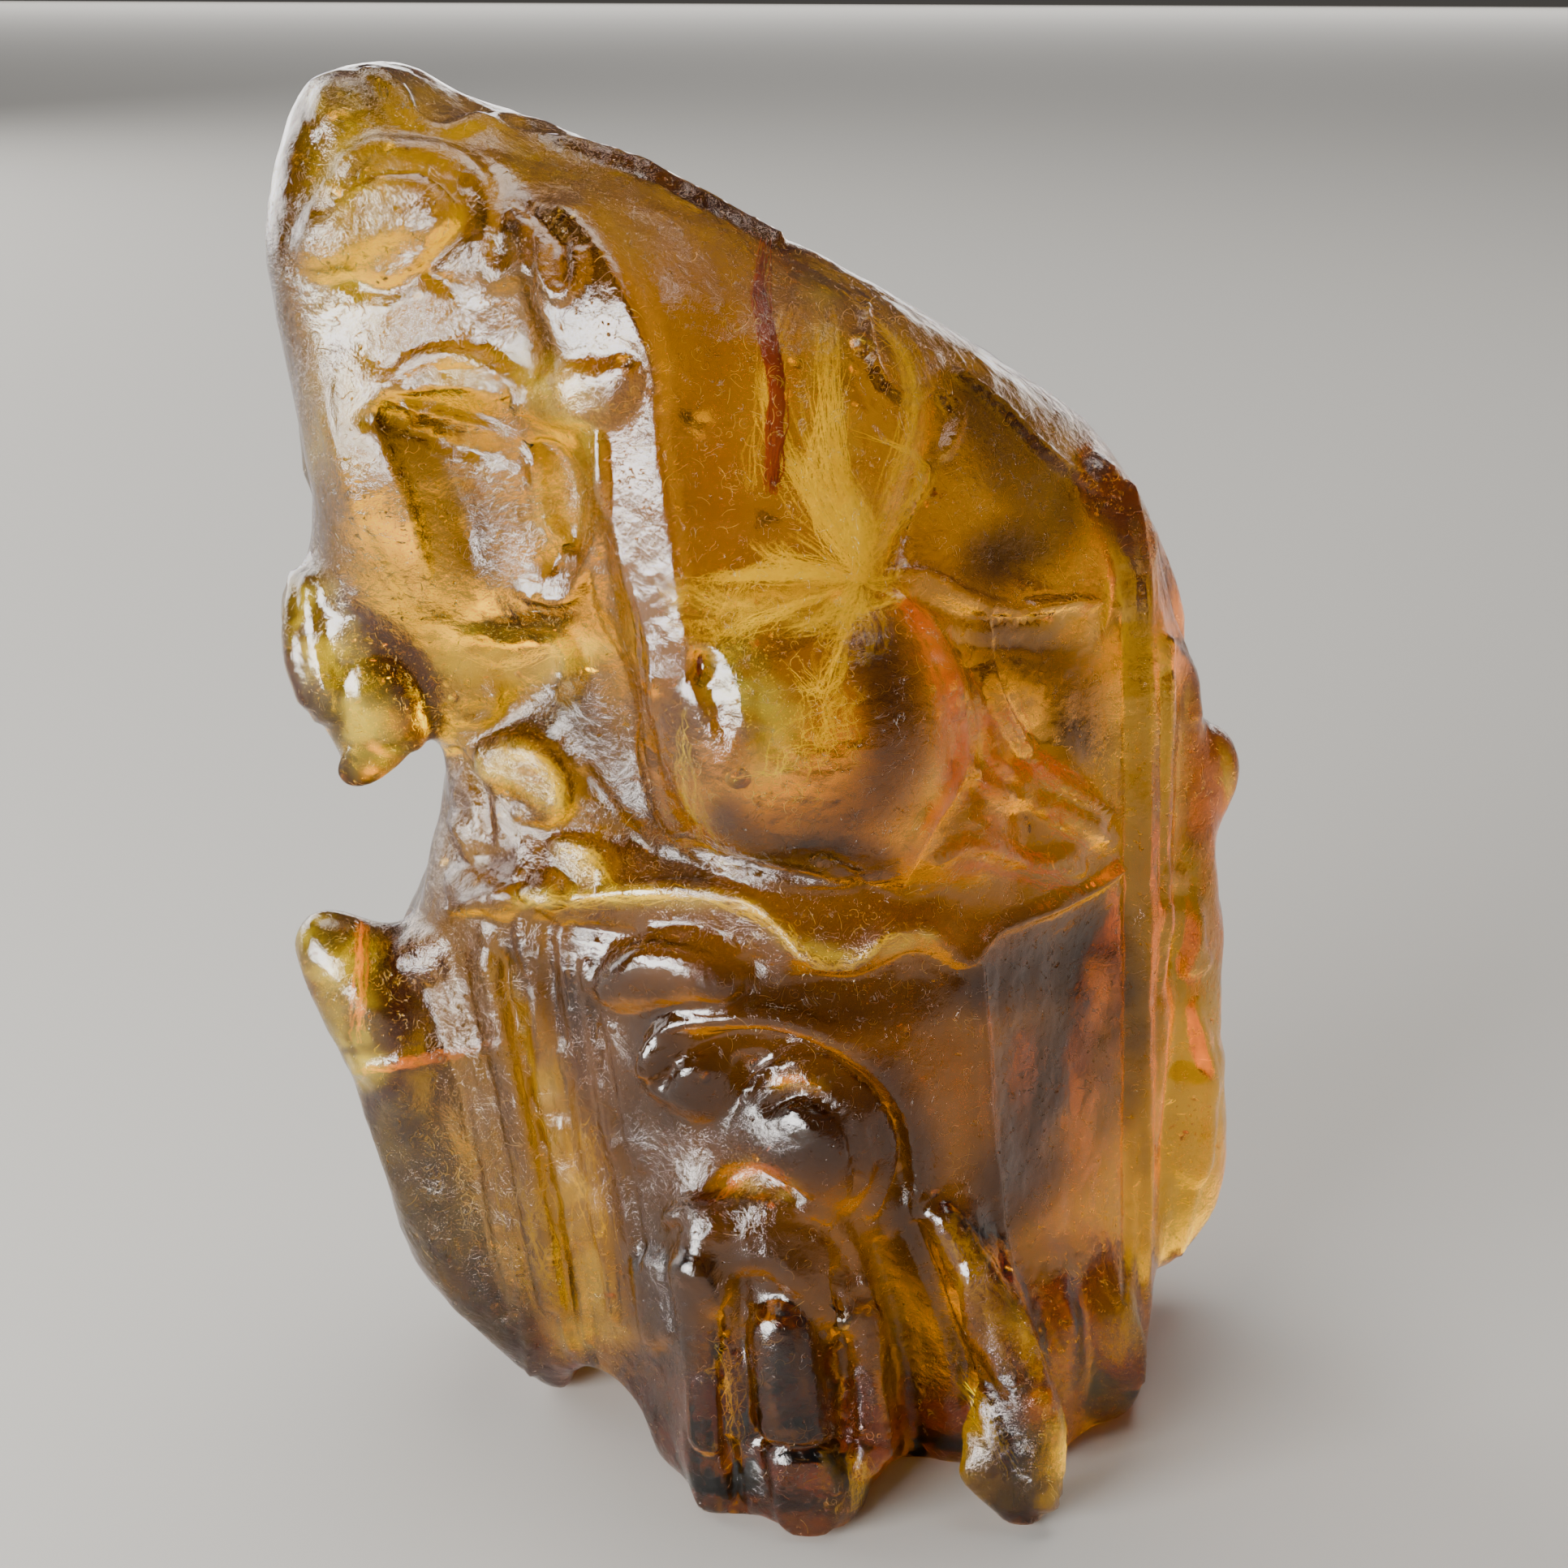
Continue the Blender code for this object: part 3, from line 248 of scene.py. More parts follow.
def hides_insect(u, v):
    """Whether something that shows at (u, v) would stand before an insect."""
    return any(math.hypot(u - a, v - b) < CLEAR_REACH for a, b in clear_views)


# The lump's skin.

def copy_of(node, side):
    """A copy of one half, its parting face pushed on past the parting."""
    source = frame["nodes"][node]
    piece = new_piece(node + "_copy", source.data.copy())
    bpy.ops.object.mode_set(mode="EDIT")
    bpy.ops.mesh.select_all(action="SELECT")
    bpy.ops.mesh.remove_doubles(threshold=0.00001)
    bpy.ops.object.mode_set(mode="OBJECT")
    for vert in piece.data.vertices:
        gap = (vert.co - PARTING_PLACE).dot(PARTING_NORMAL)
        vert.select = abs(abs(gap) - PARTING_GAP) < 0.2 * PARTING_GAP
        if vert.select:
            vert.co += PARTING_NORMAL * side * PARTING_PUSH
    return piece


# How fine the joined lump is made: first to close the parting, then for the small forms.
FIRST_VOXEL, FINE_VOXEL = 0.7 * MM, 0.57 * MM


def whole_lump():
    """Both halves joined as one closed skin."""
    lower = copy_of("amber_lower", 1)
    upper = copy_of("amber_upper", -1)
    bpy.ops.object.select_all(action="DESELECT")
    upper.select_set(True)
    lower.select_set(True)
    bpy.context.view_layer.objects.active = lower
    bpy.ops.object.join()
    lower.name = "amber"
    lower.data.materials.clear()
    finished(lower, "REMESH", mode="VOXEL", voxel_size=FIRST_VOXEL)
    drop_inner_shells(lower)
    finished(lower, "SMOOTH", factor=0.5, iterations=8)
    finished(lower, "REMESH", mode="VOXEL", voxel_size=FINE_VOXEL)
    finished(lower, "SMOOTH", factor=0.5, iterations=4)
    return lower


def drop_inner_shells(obj):
    """Keep the outer skin alone; the pockets' own skins go."""
    only(obj)
    bpy.ops.object.mode_set(mode="EDIT")
    bpy.ops.mesh.select_all(action="DESELECT")
    bpy.ops.object.mode_set(mode="OBJECT")
    top = max(obj.data.vertices, key=lambda vert: vert.co.z)
    top.select = True
    bpy.ops.object.mode_set(mode="EDIT")
    bpy.ops.mesh.select_linked()
    bpy.ops.mesh.select_all(action="INVERT")
    bpy.ops.mesh.delete(type="VERT")
    bpy.ops.object.mode_set(mode="OBJECT")


def skin_of(obj):
    """The surface of a piece, ready for sight lines to be cast at it."""
    return BVHTree.FromObject(obj, bpy.context.evaluated_depsgraph_get())


# A point faces the camera if it leans this far towards it; how gently that fades in; and
# how far behind the first skin that the camera meets a point may lie.
GRAZING, GRAZING_FADE, BEHIND = 0.05, 0.2, 0.9 * MM


def rests_in_view(obj):
    """Where the points of the skin are, and how far the camera sees each, from 0 to 1."""
    count = len(obj.data.vertices)
    places = np.empty(count * 3)
    obj.data.vertices.foreach_get("co", places)
    places = places.reshape(-1, 3)
    normals = np.empty(count * 3)
    obj.data.vertex_normals.foreach_get("vector", normals)
    normals = normals.reshape(-1, 3)
    back = np.array(CAMERA_PLACE) - places
    far = np.linalg.norm(back, axis=1)
    facing = (normals * back).sum(1) / far
    seen = np.clip((facing - GRAZING) / GRAZING_FADE, 0, 1)
    skin = skin_of(obj)
    for i in np.flatnonzero(seen > 0):
        ray = -back[i] / far[i]
        hit = skin.ray_cast(CAMERA_PLACE, ray)[3]
        if hit is None or hit < far[i] - BEHIND:
            seen[i] = 0
    return places, seen


def smooth_route(points, steps=6):
    """A smooth line through points given in the photograph, each with its half width."""
    made = []
    for i in range(len(points) - 1):
        b, c = np.array(points[i], float), np.array(points[i + 1], float)
        a = np.array(points[i - 1], float) if i else 2 * b - c
        d = np.array(points[i + 2], float) if i + 2 < len(points) else 2 * c - b
        for k in range(steps):
            t = k / steps
            made.append(0.5 * (2 * b + (c - a) * t + (2 * a - 5 * b + 4 * c - d) * t * t
                               + (3 * b - a - 3 * c + d) * t ** 3))
    made.append(np.array(points[-1], float))
    return np.array(made)


def stroke_weight(uv, points, firm=False):
    """How strongly a stroke along the given points touches each place, from 0 to 1.

    A firm stroke is as high right across and falls off near its edge.
    """
    route = smooth_route(points)
    reach = route[:, 2].max()
    low = route[:, :2].min(0) - reach
    high = route[:, :2].max(0) + reach
    near = np.flatnonzero(((uv > low) & (uv < high)).all(1))
    best = np.zeros(len(near))
    for a, b in zip(route, route[1:]):
        along = b[:2] - a[:2]
        length = max((along ** 2).sum(), 1e-9)
        t = np.clip(((uv[near] - a[:2]) @ along) / length, 0, 1)
        away = np.linalg.norm(uv[near] - (a[:2] + t[:, None] * along), axis=1)
        half = a[2] + t * (b[2] - a[2])
        share = np.clip(1 - (away / half) ** (4 if firm else 2), 0, 1) ** (1.3 if firm else 2)
        best = np.maximum(best, share)
    weight = np.zeros(len(uv))
    weight[near] = best
    return weight


# A touch lighter than this leaves the skin alone.
LEAST_WEIGHT = 0.004


def pushed(obj, name, weight, amount):
    """Push the skin out, or in where the amount is below nought, as far as weight says."""
    group = obj.vertex_groups.new(name=name)
    for i in np.flatnonzero(weight > LEAST_WEIGHT):
        group.add([int(i)], float(weight[i]), "REPLACE")
    finished(obj, "DISPLACE", direction="NORMAL", mid_level=0.0, strength=amount * MM,
             vertex_group=name)
    obj.vertex_groups.remove(obj.vertex_groups[name])


# Broad rounded forms, as high right across: points (u, v, half width), height in mm.
LOBES = (
    (1.1, ((404, 300, 44), (444, 262, 52), (500, 250, 50), (530, 268, 34))),
    (0.7, ((420, 130, 40), (440, 180, 44))),
    (0.9, ((664, 492, 26), (700, 488, 44), (744, 484, 42), (768, 462, 26))),
    (0.8, ((480, 476, 20), (560, 456, 24), (640, 474, 18))),
    (0.8, ((376, 720, 18), (380, 800, 26), (400, 870, 26))),
    (0.7, ((470, 860, 50), (500, 900, 30))),
    (1.1, ((612, 946, 28), (654, 950, 38), (676, 982, 26))),
    (1.0, ((676, 1098, 26), (677, 1100, 26))),
    (1.0, ((704, 1050, 24), (732, 1066, 30))),
    (1.0, ((574, 1090, 26), (620, 1110, 24))),
    (1.2, ((776, 1206, 44), (830, 1190, 52), (880, 1196, 46))),
    (1.5, ((940, 1400, 70), (985, 1400, 92), (1010, 1420, 84))),
    (1.0, ((830, 1320, 44), (868, 1336, 48), (900, 1356, 34))),
    (1.6, ((868, 1560, 44), (876, 1640, 40), (880, 1760, 34))),
    (1.6, ((880, 1530, 46), (960, 1526, 50), (1000, 1570, 44), (1030, 1620, 30))),
    (1.4, ((962, 1640, 40), (974, 1740, 44), (996, 1850, 46))),
    (0.9, ((1054, 1620, 18), (1062, 1720, 20), (1066, 1800, 20))),
    (1.2, ((1160, 1500, 20), (1206, 1580, 30), (1246, 1670, 34), (1280, 1760, 30),
           (1282, 1840, 22))),
    (0.9, ((800, 1560, 24), (812, 1640, 22))),
    (0.8, ((520, 1176, 34), (524, 1180, 34))),
    (0.6, ((596, 1190, 20), (628, 1330, 20), (654, 1470, 20), (680, 1600, 18))),
    (0.7, ((1290, 960, 40), (1330, 1000, 34), (1360, 1030, 24))),
    (0.6, ((1450, 1130, 26), (1470, 1180, 26))),
    (0.7, ((1460, 1340, 30), (1466, 1430, 30))),
)

# Runs that stand up from the skin: points (u, v, half width) and height in millimetres.
RAISED = (
    (0.7, ((408, 236, 14), (452, 194, 18), (510, 184, 18), (566, 200, 18), (600, 240, 18),
           (604, 290, 16), (580, 336, 14))),
    (0.7, ((738, 530, 8), (744, 600, 10), (740, 660, 11), (722, 706, 12), (690, 738, 11),
           (640, 726, 8))),
    (0.8, ((500, 446, 9), (545, 436, 12), (590, 444, 13), (632, 468, 12), (650, 500, 9))),
    (0.6, ((520, 470, 7), (560, 468, 9), (620, 484, 8))),
    (0.9, ((648, 540, 8), (660, 576, 10), (668, 620, 10), (690, 668, 9), (706, 690, 7))),
    (0.7, ((592, 300, 22), (610, 340, 26), (640, 330, 18))),
    (0.8, ((668, 300, 10), (670, 340, 13), (690, 366, 13), (712, 350, 12), (712, 310, 9))),
    (0.7, ((455, 88, 14), (488, 112, 16), (508, 148, 16), (545, 166, 14), (592, 150, 12),
           (640, 150, 12), (700, 172, 12), (790, 204, 12), (900, 262, 12), (960, 296, 10))),
    (0.5, ((372, 690, 12), (364, 740, 14), (368, 800, 16), (384, 860, 14))),
    (0.6, ((566, 880, 10), (590, 886, 14), (606, 876, 14), (612, 850, 12))),
    (0.8, ((600, 925, 16), (640, 918, 24), (680, 940, 24), (694, 980, 20), (676, 1008, 16),
           (640, 1000, 14))),
    (0.7, ((690, 1040, 14), (720, 1048, 18), (744, 1070, 18), (742, 1096, 12))),
    (0.6, ((560, 1010, 12), (590, 1060, 14), (640, 1082, 12))),
    (0.9, ((560, 1120, 10), (640, 1102, 13), (700, 1106, 14), (770, 1100, 16),
           (850, 1098, 18), (918, 1112, 18), (962, 1142, 16), (986, 1172, 13),
           (1022, 1186, 12), (1060, 1180, 12), (1092, 1150, 14), (1138, 1144, 14),
           (1168, 1166, 12), (1192, 1182, 10), (1220, 1150, 10), (1262, 1130, 11),
           (1340, 1096, 10), (1380, 1072, 8))),
    (0.8, ((760, 1212, 34), (800, 1180, 40), (850, 1184, 44), (890, 1208, 34))),
    (1.1, ((806, 1312, 14), (816, 1276, 20), (850, 1256, 22), (940, 1252, 22),
           (1010, 1270, 22), (1074, 1308, 22), (1118, 1366, 20), (1132, 1440, 16),
           (1126, 1500, 12))),
    (1.1, ((930, 1350, 14), (954, 1318, 18), (1000, 1310, 20), (1050, 1336, 20),
           (1082, 1386, 18), (1088, 1440, 16), (1074, 1490, 12))),
    (0.8, ((826, 1500, 14), (872, 1484, 18), (930, 1480, 18), (1000, 1490, 18),
           (1046, 1534, 16), (1066, 1610, 14), (1072, 1700, 12), (1076, 1790, 10))),
    (0.7, ((860, 1556, 26), (874, 1574, 28), (884, 1600, 18))),
    (0.6, ((1196, 1560, 12), (1202, 1640, 16), (1210, 1720, 18), (1236, 1800, 16))),
    (1.0, ((1156, 486, 9), (1178, 512, 12), (1166, 552, 11), (1136, 584, 10),
           (1120, 636, 11), (1112, 694, 8))),
    (1.0, ((1104, 706, 9), (1140, 712, 13), (1190, 738, 14), (1250, 750, 11),
           (1300, 744, 11), (1344, 742, 8))),
    (0.9, ((1214, 742, 9), (1210, 800, 11), (1222, 850, 10), (1246, 900, 9),
           (1290, 950, 10), (1352, 1000, 8))),
    (0.8, ((1180, 460, 8), (1230, 500, 10), (1290, 560, 10), (1346, 600, 9))),
    (0.8, ((1190, 940, 10), (1240, 980, 12), (1300, 990, 11), (1350, 1030, 8))),
    (0.8, ((1150, 1060, 9), (1200, 1040, 12), (1262, 1060, 12), (1320, 1050, 10))),
    (0.6, ((1066, 380, 8), (1080, 460, 9), (1120, 490, 9), (1150, 480, 8))),
    (0.6, ((1110, 736, 10), (1150, 790, 14), (1176, 866, 16), (1180, 950, 14),
           (1140, 1020, 14), (1108, 1086, 10))),
    (0.5, ((1230, 940, 10), (1290, 1000, 14), (1350, 1010, 12))),
    (0.5, ((1200, 1010, 10), (1260, 1060, 14), (1330, 1070, 12))),
    (0.6, ((738, 700, 10), (750, 760, 13), (782, 812, 14), (800, 860, 13), (798, 930, 12),
           (820, 1000, 12), (860, 1050, 12), (960, 1086, 11), (1100, 1082, 10))),
    (0.4, ((1060, 420, 16), (1062, 428, 16))),
    (0.5, ((600, 1150, 16), (606, 1160, 14))),
    (0.6, ((640, 1206, 18), (642, 1226, 18))),
    (0.6, ((724, 1190, 16), (728, 1210, 16))),
    (0.5, ((700, 1300, 16), (700, 1318, 14))),
    (0.5, ((690, 1390, 16), (692, 1404, 14))),
    (0.5, ((600, 1170, 9), (618, 1250, 11), (640, 1350, 11), (668, 1460, 11),
           (690, 1580, 11), (704, 1660, 9))),
    (0.5, ((640, 1140, 9), (660, 1240, 12), (668, 1340, 11), (690, 1440, 12),
           (712, 1560, 11), (724, 1650, 9))),
    (0.5, ((690, 1130, 9), (700, 1220, 12), (712, 1300, 11), (724, 1400, 13),
           (740, 1500, 12), (756, 1620, 9))),
    (0.4, ((546, 1200, 8), (590, 1318, 9), (610, 1400, 9), (640, 1560, 9), (655, 1690, 8))),
    (0.4, ((440, 1320, 8), (520, 1304, 10), (600, 1292, 9), (640, 1270, 8))),
    (0.5, ((1206, 1190, 8), (1214, 1300, 9), (1222, 1420, 9), (1248, 1600, 9),
           (1290, 1760, 8))),
    (0.5, ((1392, 600, 9), (1410, 700, 10), (1414, 900, 10), (1412, 1200, 10),
           (1414, 1500, 10), (1404, 1700, 9))),
    (0.6, ((1440, 790, 12), (1462, 830, 16), (1472, 880, 14))),
    (0.6, ((1452, 1080, 16), (1470, 1130, 20), (1460, 1190, 14))),
    (0.5, ((1470, 1240, 12), (1490, 1330, 14), (1480, 1430, 14), (1450, 1540, 12))),
)

# Grooves and hollows pressed into the skin: points (u, v, half width), depth in mm.
PRESSED = (
    (1.1, ((400, 262, 10), (430, 226, 13), (480, 204, 14), (530, 208, 15), (566, 236, 16),
           (576, 268, 15), (560, 298, 14), (536, 318, 14), (522, 338, 12), (556, 354, 10))),
    (0.7, ((450, 520, 14), (476, 512, 18), (500, 520, 12))),
    (0.5, ((420, 340, 16), (470, 360, 16), (520, 340, 12))),
    (0.6, ((500, 468, 9), (560, 456, 10), (620, 466, 9), (640, 480, 8))),
    (0.9, ((650, 548, 14), (684, 560, 20), (706, 610, 24), (700, 660, 22), (676, 700, 14))),
    (0.4, ((540, 560, 20), (570, 620, 30), (580, 680, 24))),
    (0.6, ((640, 250, 12), (664, 268, 14), (690, 300, 12))),
    (1.3, ((861, 812, 13), (863, 832, 13))),
    (0.7, ((1150, 560, 12), (1128, 620, 14), (1104, 690, 12))),
    (0.6, ((1130, 736, 12), (1200, 762, 14), (1290, 764, 12))),
    (0.6, ((1196, 820, 14), (1216, 900, 16), (1204, 980, 14))),
    (0.6, ((1010, 1060, 12), (1100, 1110, 14), (1150, 1108, 12))),
    (0.7, ((560, 930, 14), (590, 970, 14), (600, 1030, 12))),
    (0.7, ((720, 960, 18), (760, 1010, 18), (800, 1050, 14))),
    (0.6, ((660, 1138, 10), (760, 1152, 12), (860, 1170, 12), (930, 1190, 10))),
    (0.6, ((985, 1206, 10), (1060, 1210, 12), (1130, 1180, 10), (1180, 1204, 9))),
    (1.2, ((822, 1330, 10), (846, 1296, 12), (890, 1284, 13), (940, 1284, 13),
           (1006, 1296, 13), (1060, 1334, 13), (1104, 1400, 12), (1112, 1470, 10))),
    (1.2, ((956, 1362, 12), (984, 1346, 15), (1020, 1362, 13), (1046, 1400, 11),
           (1052, 1450, 9))),
    (1.3, ((884, 1468, 16), (930, 1444, 22), (980, 1468, 16))),
    (1.6, ((892, 1600, 12), (898, 1700, 14), (902, 1800, 14), (910, 1876, 12))),
    (1.5, ((1022, 1560, 10), (1034, 1660, 13), (1042, 1760, 12), (1044, 1800, 10))),
    (1.0, ((930, 1772, 8), (1000, 1780, 10), (1070, 1770, 8))),
    (1.3, ((1084, 1540, 14), (1112, 1650, 22), (1126, 1760, 20), (1130, 1820, 14))),
    (0.8, ((1112, 1450, 12), (1130, 1520, 12), (1164, 1620, 12), (1200, 1720, 10))),
    (0.5, ((1180, 1600, 10), (1190, 1680, 12), (1196, 1760, 12))),
    (0.5, ((622, 1180, 7), (640, 1290, 8), (660, 1400, 8), (688, 1540, 8), (706, 1640, 7))),
    (0.5, ((672, 1140, 7), (682, 1250, 8), (694, 1350, 8), (712, 1460, 8), (738, 1600, 7))),
    (0.5, ((730, 1240, 9), (750, 1340, 12), (770, 1440, 12), (790, 1560, 10))),
    (0.4, ((520, 1220, 12), (566, 1340, 12), (590, 1480, 12), (620, 1620, 10))),
    (0.5, ((1386, 760, 7), (1390, 1000, 8), (1390, 1300, 8), (1388, 1600, 7))),
    (0.6, ((1434, 830, 8), (1436, 1000, 9), (1432, 1250, 9), (1430, 1500, 8))),
)

# Parts of the skin to soften before they are worked: the middle and the reach.
SOFTENING = 70
SOFTENED = ((520, 560, 170), (560, 700, 150), (660, 640, 110), (470, 420, 110),
            (520, 740, 90))


def softened(lump):
    """Smooth away the solid's own steps where the real skin is a soft slope."""
    places, seen = rests_in_view(lump)
    uv = seen_at(places)
    share = np.zeros(len(uv))
    for u, v, reach in SOFTENED:
        away = np.linalg.norm(uv - (u, v), axis=1) / reach
        share = np.maximum(share, np.clip(1.6 * (1 - away), 0, 1))
    group = lump.vertex_groups.new(name="softened")
    for i in np.flatnonzero(share * seen > 0.01):
        group.add([int(i)], float(share[i]), "REPLACE")
    finished(lump, "SMOOTH", factor=0.5, iterations=SOFTENING, vertex_group="softened")
    lump.vertex_groups.remove(lump.vertex_groups["softened"])


def worked_skin(lump):
    """Raise and press the small forms that the photograph shows on the near side."""
    places, seen = rests_in_view(lump)
    uv = seen_at(places)
    for name, sign, table in (("lobes", 1, LOBES), ("pressed", -1, PRESSED),
                              ("raised", 1, RAISED)):
        total = np.zeros(len(uv))
        tallest = max(height for height, points in table)
        for height, points in table:
            share = stroke_weight(uv, points, name == "lobes")
            total = np.maximum(total, share * height / tallest)
        pushed(lump, name, total * seen, sign * tallest)


# The broad bevels that catch the window: which way they face, then (u, v, half width).
WINDOW_BEVELS = (
    (-158, ((700, 300, 62), (724, 360, 74), (744, 420, 74), (760, 470, 66), (772, 540, 54),
            (786, 620, 50), (800, 700, 48), (814, 780, 42), (822, 826, 34))),
    (-161, ((432, 470, 30), (444, 540, 34), (468, 610, 38), (496, 680, 32), (514, 722, 22))),
    (-157, ((884, 822, 28), (896, 856, 32), (904, 890, 28))),
    (-160, ((492, 512, 18), (550, 530, 24), (610, 548, 24), (640, 560, 16))),
)


# The furthest that a bevel moves the skin.
BEVEL_TRAVEL = 2.2 * MM


def bevelled(lump, skin):
    """Flatten the skin across each bevel's line, so that it faces one way."""
    places, seen = rests_in_view(lump)
    uv = seen_at(places)
    for heading, points in WINDOW_BEVELS:
        route = smooth_route(points, 5)
        on_skin = []
        for u, v, half in route:
            hit = skin.ray_cast(CAMERA_PLACE, sight(u, v))[0]
            on_skin.append(np.array(hit))
        on_skin = np.array(on_skin)
        for k in range(4):
            on_skin[1:-1] = (on_skin[:-2] + on_skin[1:-1] * 2 + on_skin[2:]) / 4
        tangent = np.gradient(on_skin, axis=0)
        side = math.radians(heading)
        moved = np.zeros(len(uv))
        for i in np.flatnonzero(seen > 0.05):
            away = np.linalg.norm(route[:, :2] - uv[i], axis=1)
            j = int(away.argmin())
            share = 1 - (away[j] / route[j, 2]) ** 2
            if share <= 0:
                continue
            run = tangent[j]
            lean = -(math.sin(side) * run[0] + math.cos(side) * run[1]) / run[2]
            face = Vector((math.sin(side), math.cos(side), lean)).normalized()
            ray = Vector(places[i]) - CAMERA_PLACE
            ray.normalize()
            travel = (Vector(on_skin[j]) - Vector(places[i])).dot(face) / ray.dot(face)
            travel = max(-BEVEL_TRAVEL, min(BEVEL_TRAVEL, travel))
            share = min(1.0, share * 2.2)
            lump.data.vertices[i].co += ray * travel * share * seen[i]
    lump.data.update()


GOLD, OLIVE, ORANGE = (1.0, 0.70, 0.03), (0.78, 0.76, 0.08), (1.0, 0.58, 0.02)
BROWN, DARK, RED = (0.42, 0.26, 0.04), (0.13, 0.075, 0.015), (0.80, 0.36, 0.01)
# The dark that painted shade takes the tint towards.
SHADE = (0.03, 0.02, 0.008)
LOWER_TINT, UPPER_TINT = (0.40, 0.26, 0.05), (0.95, 0.70, 0.05)
# How rugged the polish is where no stroke says otherwise.
PLAIN_POLISH = 0.5

# Where the tint changes, mostly the resin's own colour; strokes marked below also hold painted
# light and painted shade: the tint, how far it takes over, (u, v, half width).
TINTS = (
    (RED, 0.8, ((861, 806, 14), (863, 836, 14))),
    (GOLD, 0.7, ((430, 130, 60), (440, 220, 60), (420, 300, 60))),
    (GOLD, 0.8, ((404, 300, 50), (450, 262, 52), (520, 262, 44))),
    (OLIVE, 0.7, ((640, 200, 44), (700, 230, 50), (780, 300, 50))),
    (GOLD, 0.9, ((400, 740, 50), (420, 840, 60), (480, 920, 50))),
    (ORANGE, 0.6, ((540, 790, 40), (640, 800, 50), (740, 780, 40))),
    (BROWN, 0.8, ((470, 520, 30), (520, 560, 50), (560, 620, 60), (590, 690, 44))),
    (BROWN, 0.5, ((420, 420, 30), (400, 520, 30), (420, 640, 30))),
    (ORANGE, 0.8, ((680, 570, 30), (696, 640, 34))),
    (BROWN, 0.5, ((880, 340, 50), (880, 480, 50), (880, 620, 50))),
    (GOLD, 0.9, ((1000, 340, 40), (1020, 480, 46), (1030, 600, 46), (1050, 700, 44))),
    (GOLD, 0.8, ((850, 730, 30), (930, 750, 40), (1040, 720, 36))),
    (OLIVE, 0.8, ((900, 820, 60), (940, 900, 60), (900, 980, 50))),
    (ORANGE, 0.6, ((880, 560, 40), (900, 660, 50))),
    (OLIVE, 0.9, ((850, 880, 50), (870, 980, 60), (930, 1040, 60), (1010, 1060, 40))),
    (RED, 0.5, ((1120, 750, 16), (1168, 830, 18), (1176, 930, 18), (1150, 1010, 18),
                (1112, 1080, 16))),
    # Partly the resin's darker tint, partly painted shade on the top of the right facet.
    (DARK, 0.85, ((1200, 500, 36), (1250, 560, 56), (1290, 640, 60), (1220, 690, 50))),
    (BROWN, 0.7, ((1230, 780, 50), (1300, 820, 60), (1340, 900, 50))),
    (RED, 0.5, ((1210, 980, 40), (1280, 1010, 50), (1340, 1040, 40))),
    (GOLD, 0.5, ((1350, 560, 34), (1380, 640, 30))),
    (BROWN, 0.6, ((600, 880, 50), (700, 900, 60), (780, 980, 60), (840, 1080, 40))),
    (GOLD, 0.9, ((606, 946, 28), (650, 946, 36), (684, 990, 26))),
    (GOLD, 0.8, ((700, 1050, 26), (740, 1080, 30))),
    (GOLD, 0.9, ((700, 1106, 18), (770, 1104, 20), (850, 1100, 22), (920, 1116, 20),
                 (975, 1160, 16), (1030, 1184, 14), (1080, 1164, 16), (1160, 1156, 14))),
    (GOLD, 0.9, ((390, 1150, 40), (420, 1220, 44), (440, 1290, 36))),
    (GOLD, 0.7, ((480, 1150, 34), (530, 1180, 36))),
    (BROWN, 0.7, ((520, 1400, 70), (560, 1500, 70), (620, 1620, 50))),
    (ORANGE, 0.9, ((630, 1200, 40), (690, 1400, 60), (740, 1600, 60))),
    # Partly the resin's orange, partly painted glints low on the left.
    (ORANGE, 0.9, ((680, 1650, 40), (740, 1650, 30), (780, 1650, 20))),
    # Partly the resin's darker tint, partly painted shade over the lower middle.
    (DARK, 0.85, ((800, 1400, 50), (900, 1300, 60), (1010, 1400, 90), (1120, 1440, 70),
                  (1130, 1600, 50))),
    (ORANGE, 0.95, ((956, 1334, 16), (984, 1332, 20), (1010, 1344, 14))),
    (ORANGE, 0.95, ((894, 1462, 24), (930, 1448, 30), (972, 1466, 24))),
    (BROWN, 0.7, ((860, 1560, 50), (940, 1560, 60), (1000, 1600, 50), (970, 1760, 80))),
    # Partly the resin's orange, partly painted light where the window light gathers low on the
    # right.
    (ORANGE, 0.9, ((1240, 1560, 30), (1290, 1620, 50), (1340, 1700, 60), (1380, 1740, 40))),
    (ORANGE, 0.6, ((1330, 1480, 60), (1370, 1560, 50))),
    (BROWN, 0.9, ((1388, 620, 26), (1400, 760, 30), (1404, 960, 30), (1406, 1200, 30),
                  (1408, 1440, 26))),
    # Partly the resin's gold, partly painted light gathered at the foot of the right strip.
    (GOLD, 0.9, ((1400, 1560, 26), (1404, 1660, 30), (1390, 1740, 30))),
    (ORANGE, 0.8, ((1460, 1260, 36), (1466, 1400, 44), (1440, 1540, 40))),
    (BROWN, 0.6, ((1450, 1000, 40), (1460, 1120, 40))),
    (GOLD, 0.6, ((1160, 1640, 20), (1200, 1740, 24), (1230, 1800, 20))),
    # Partly the resin's darker tint, partly painted shade on the claw.
    (DARK, 0.75, ((1240, 1700, 24), (1270, 1780, 34), (1266, 1870, 40))),
    (GOLD, 0.8, ((1056, 1800, 16), (1060, 1850, 18), (1040, 1880, 14))),
    (ORANGE, 0.8, ((898, 1640, 14), (900, 1760, 16), (908, 1860, 16))),
)
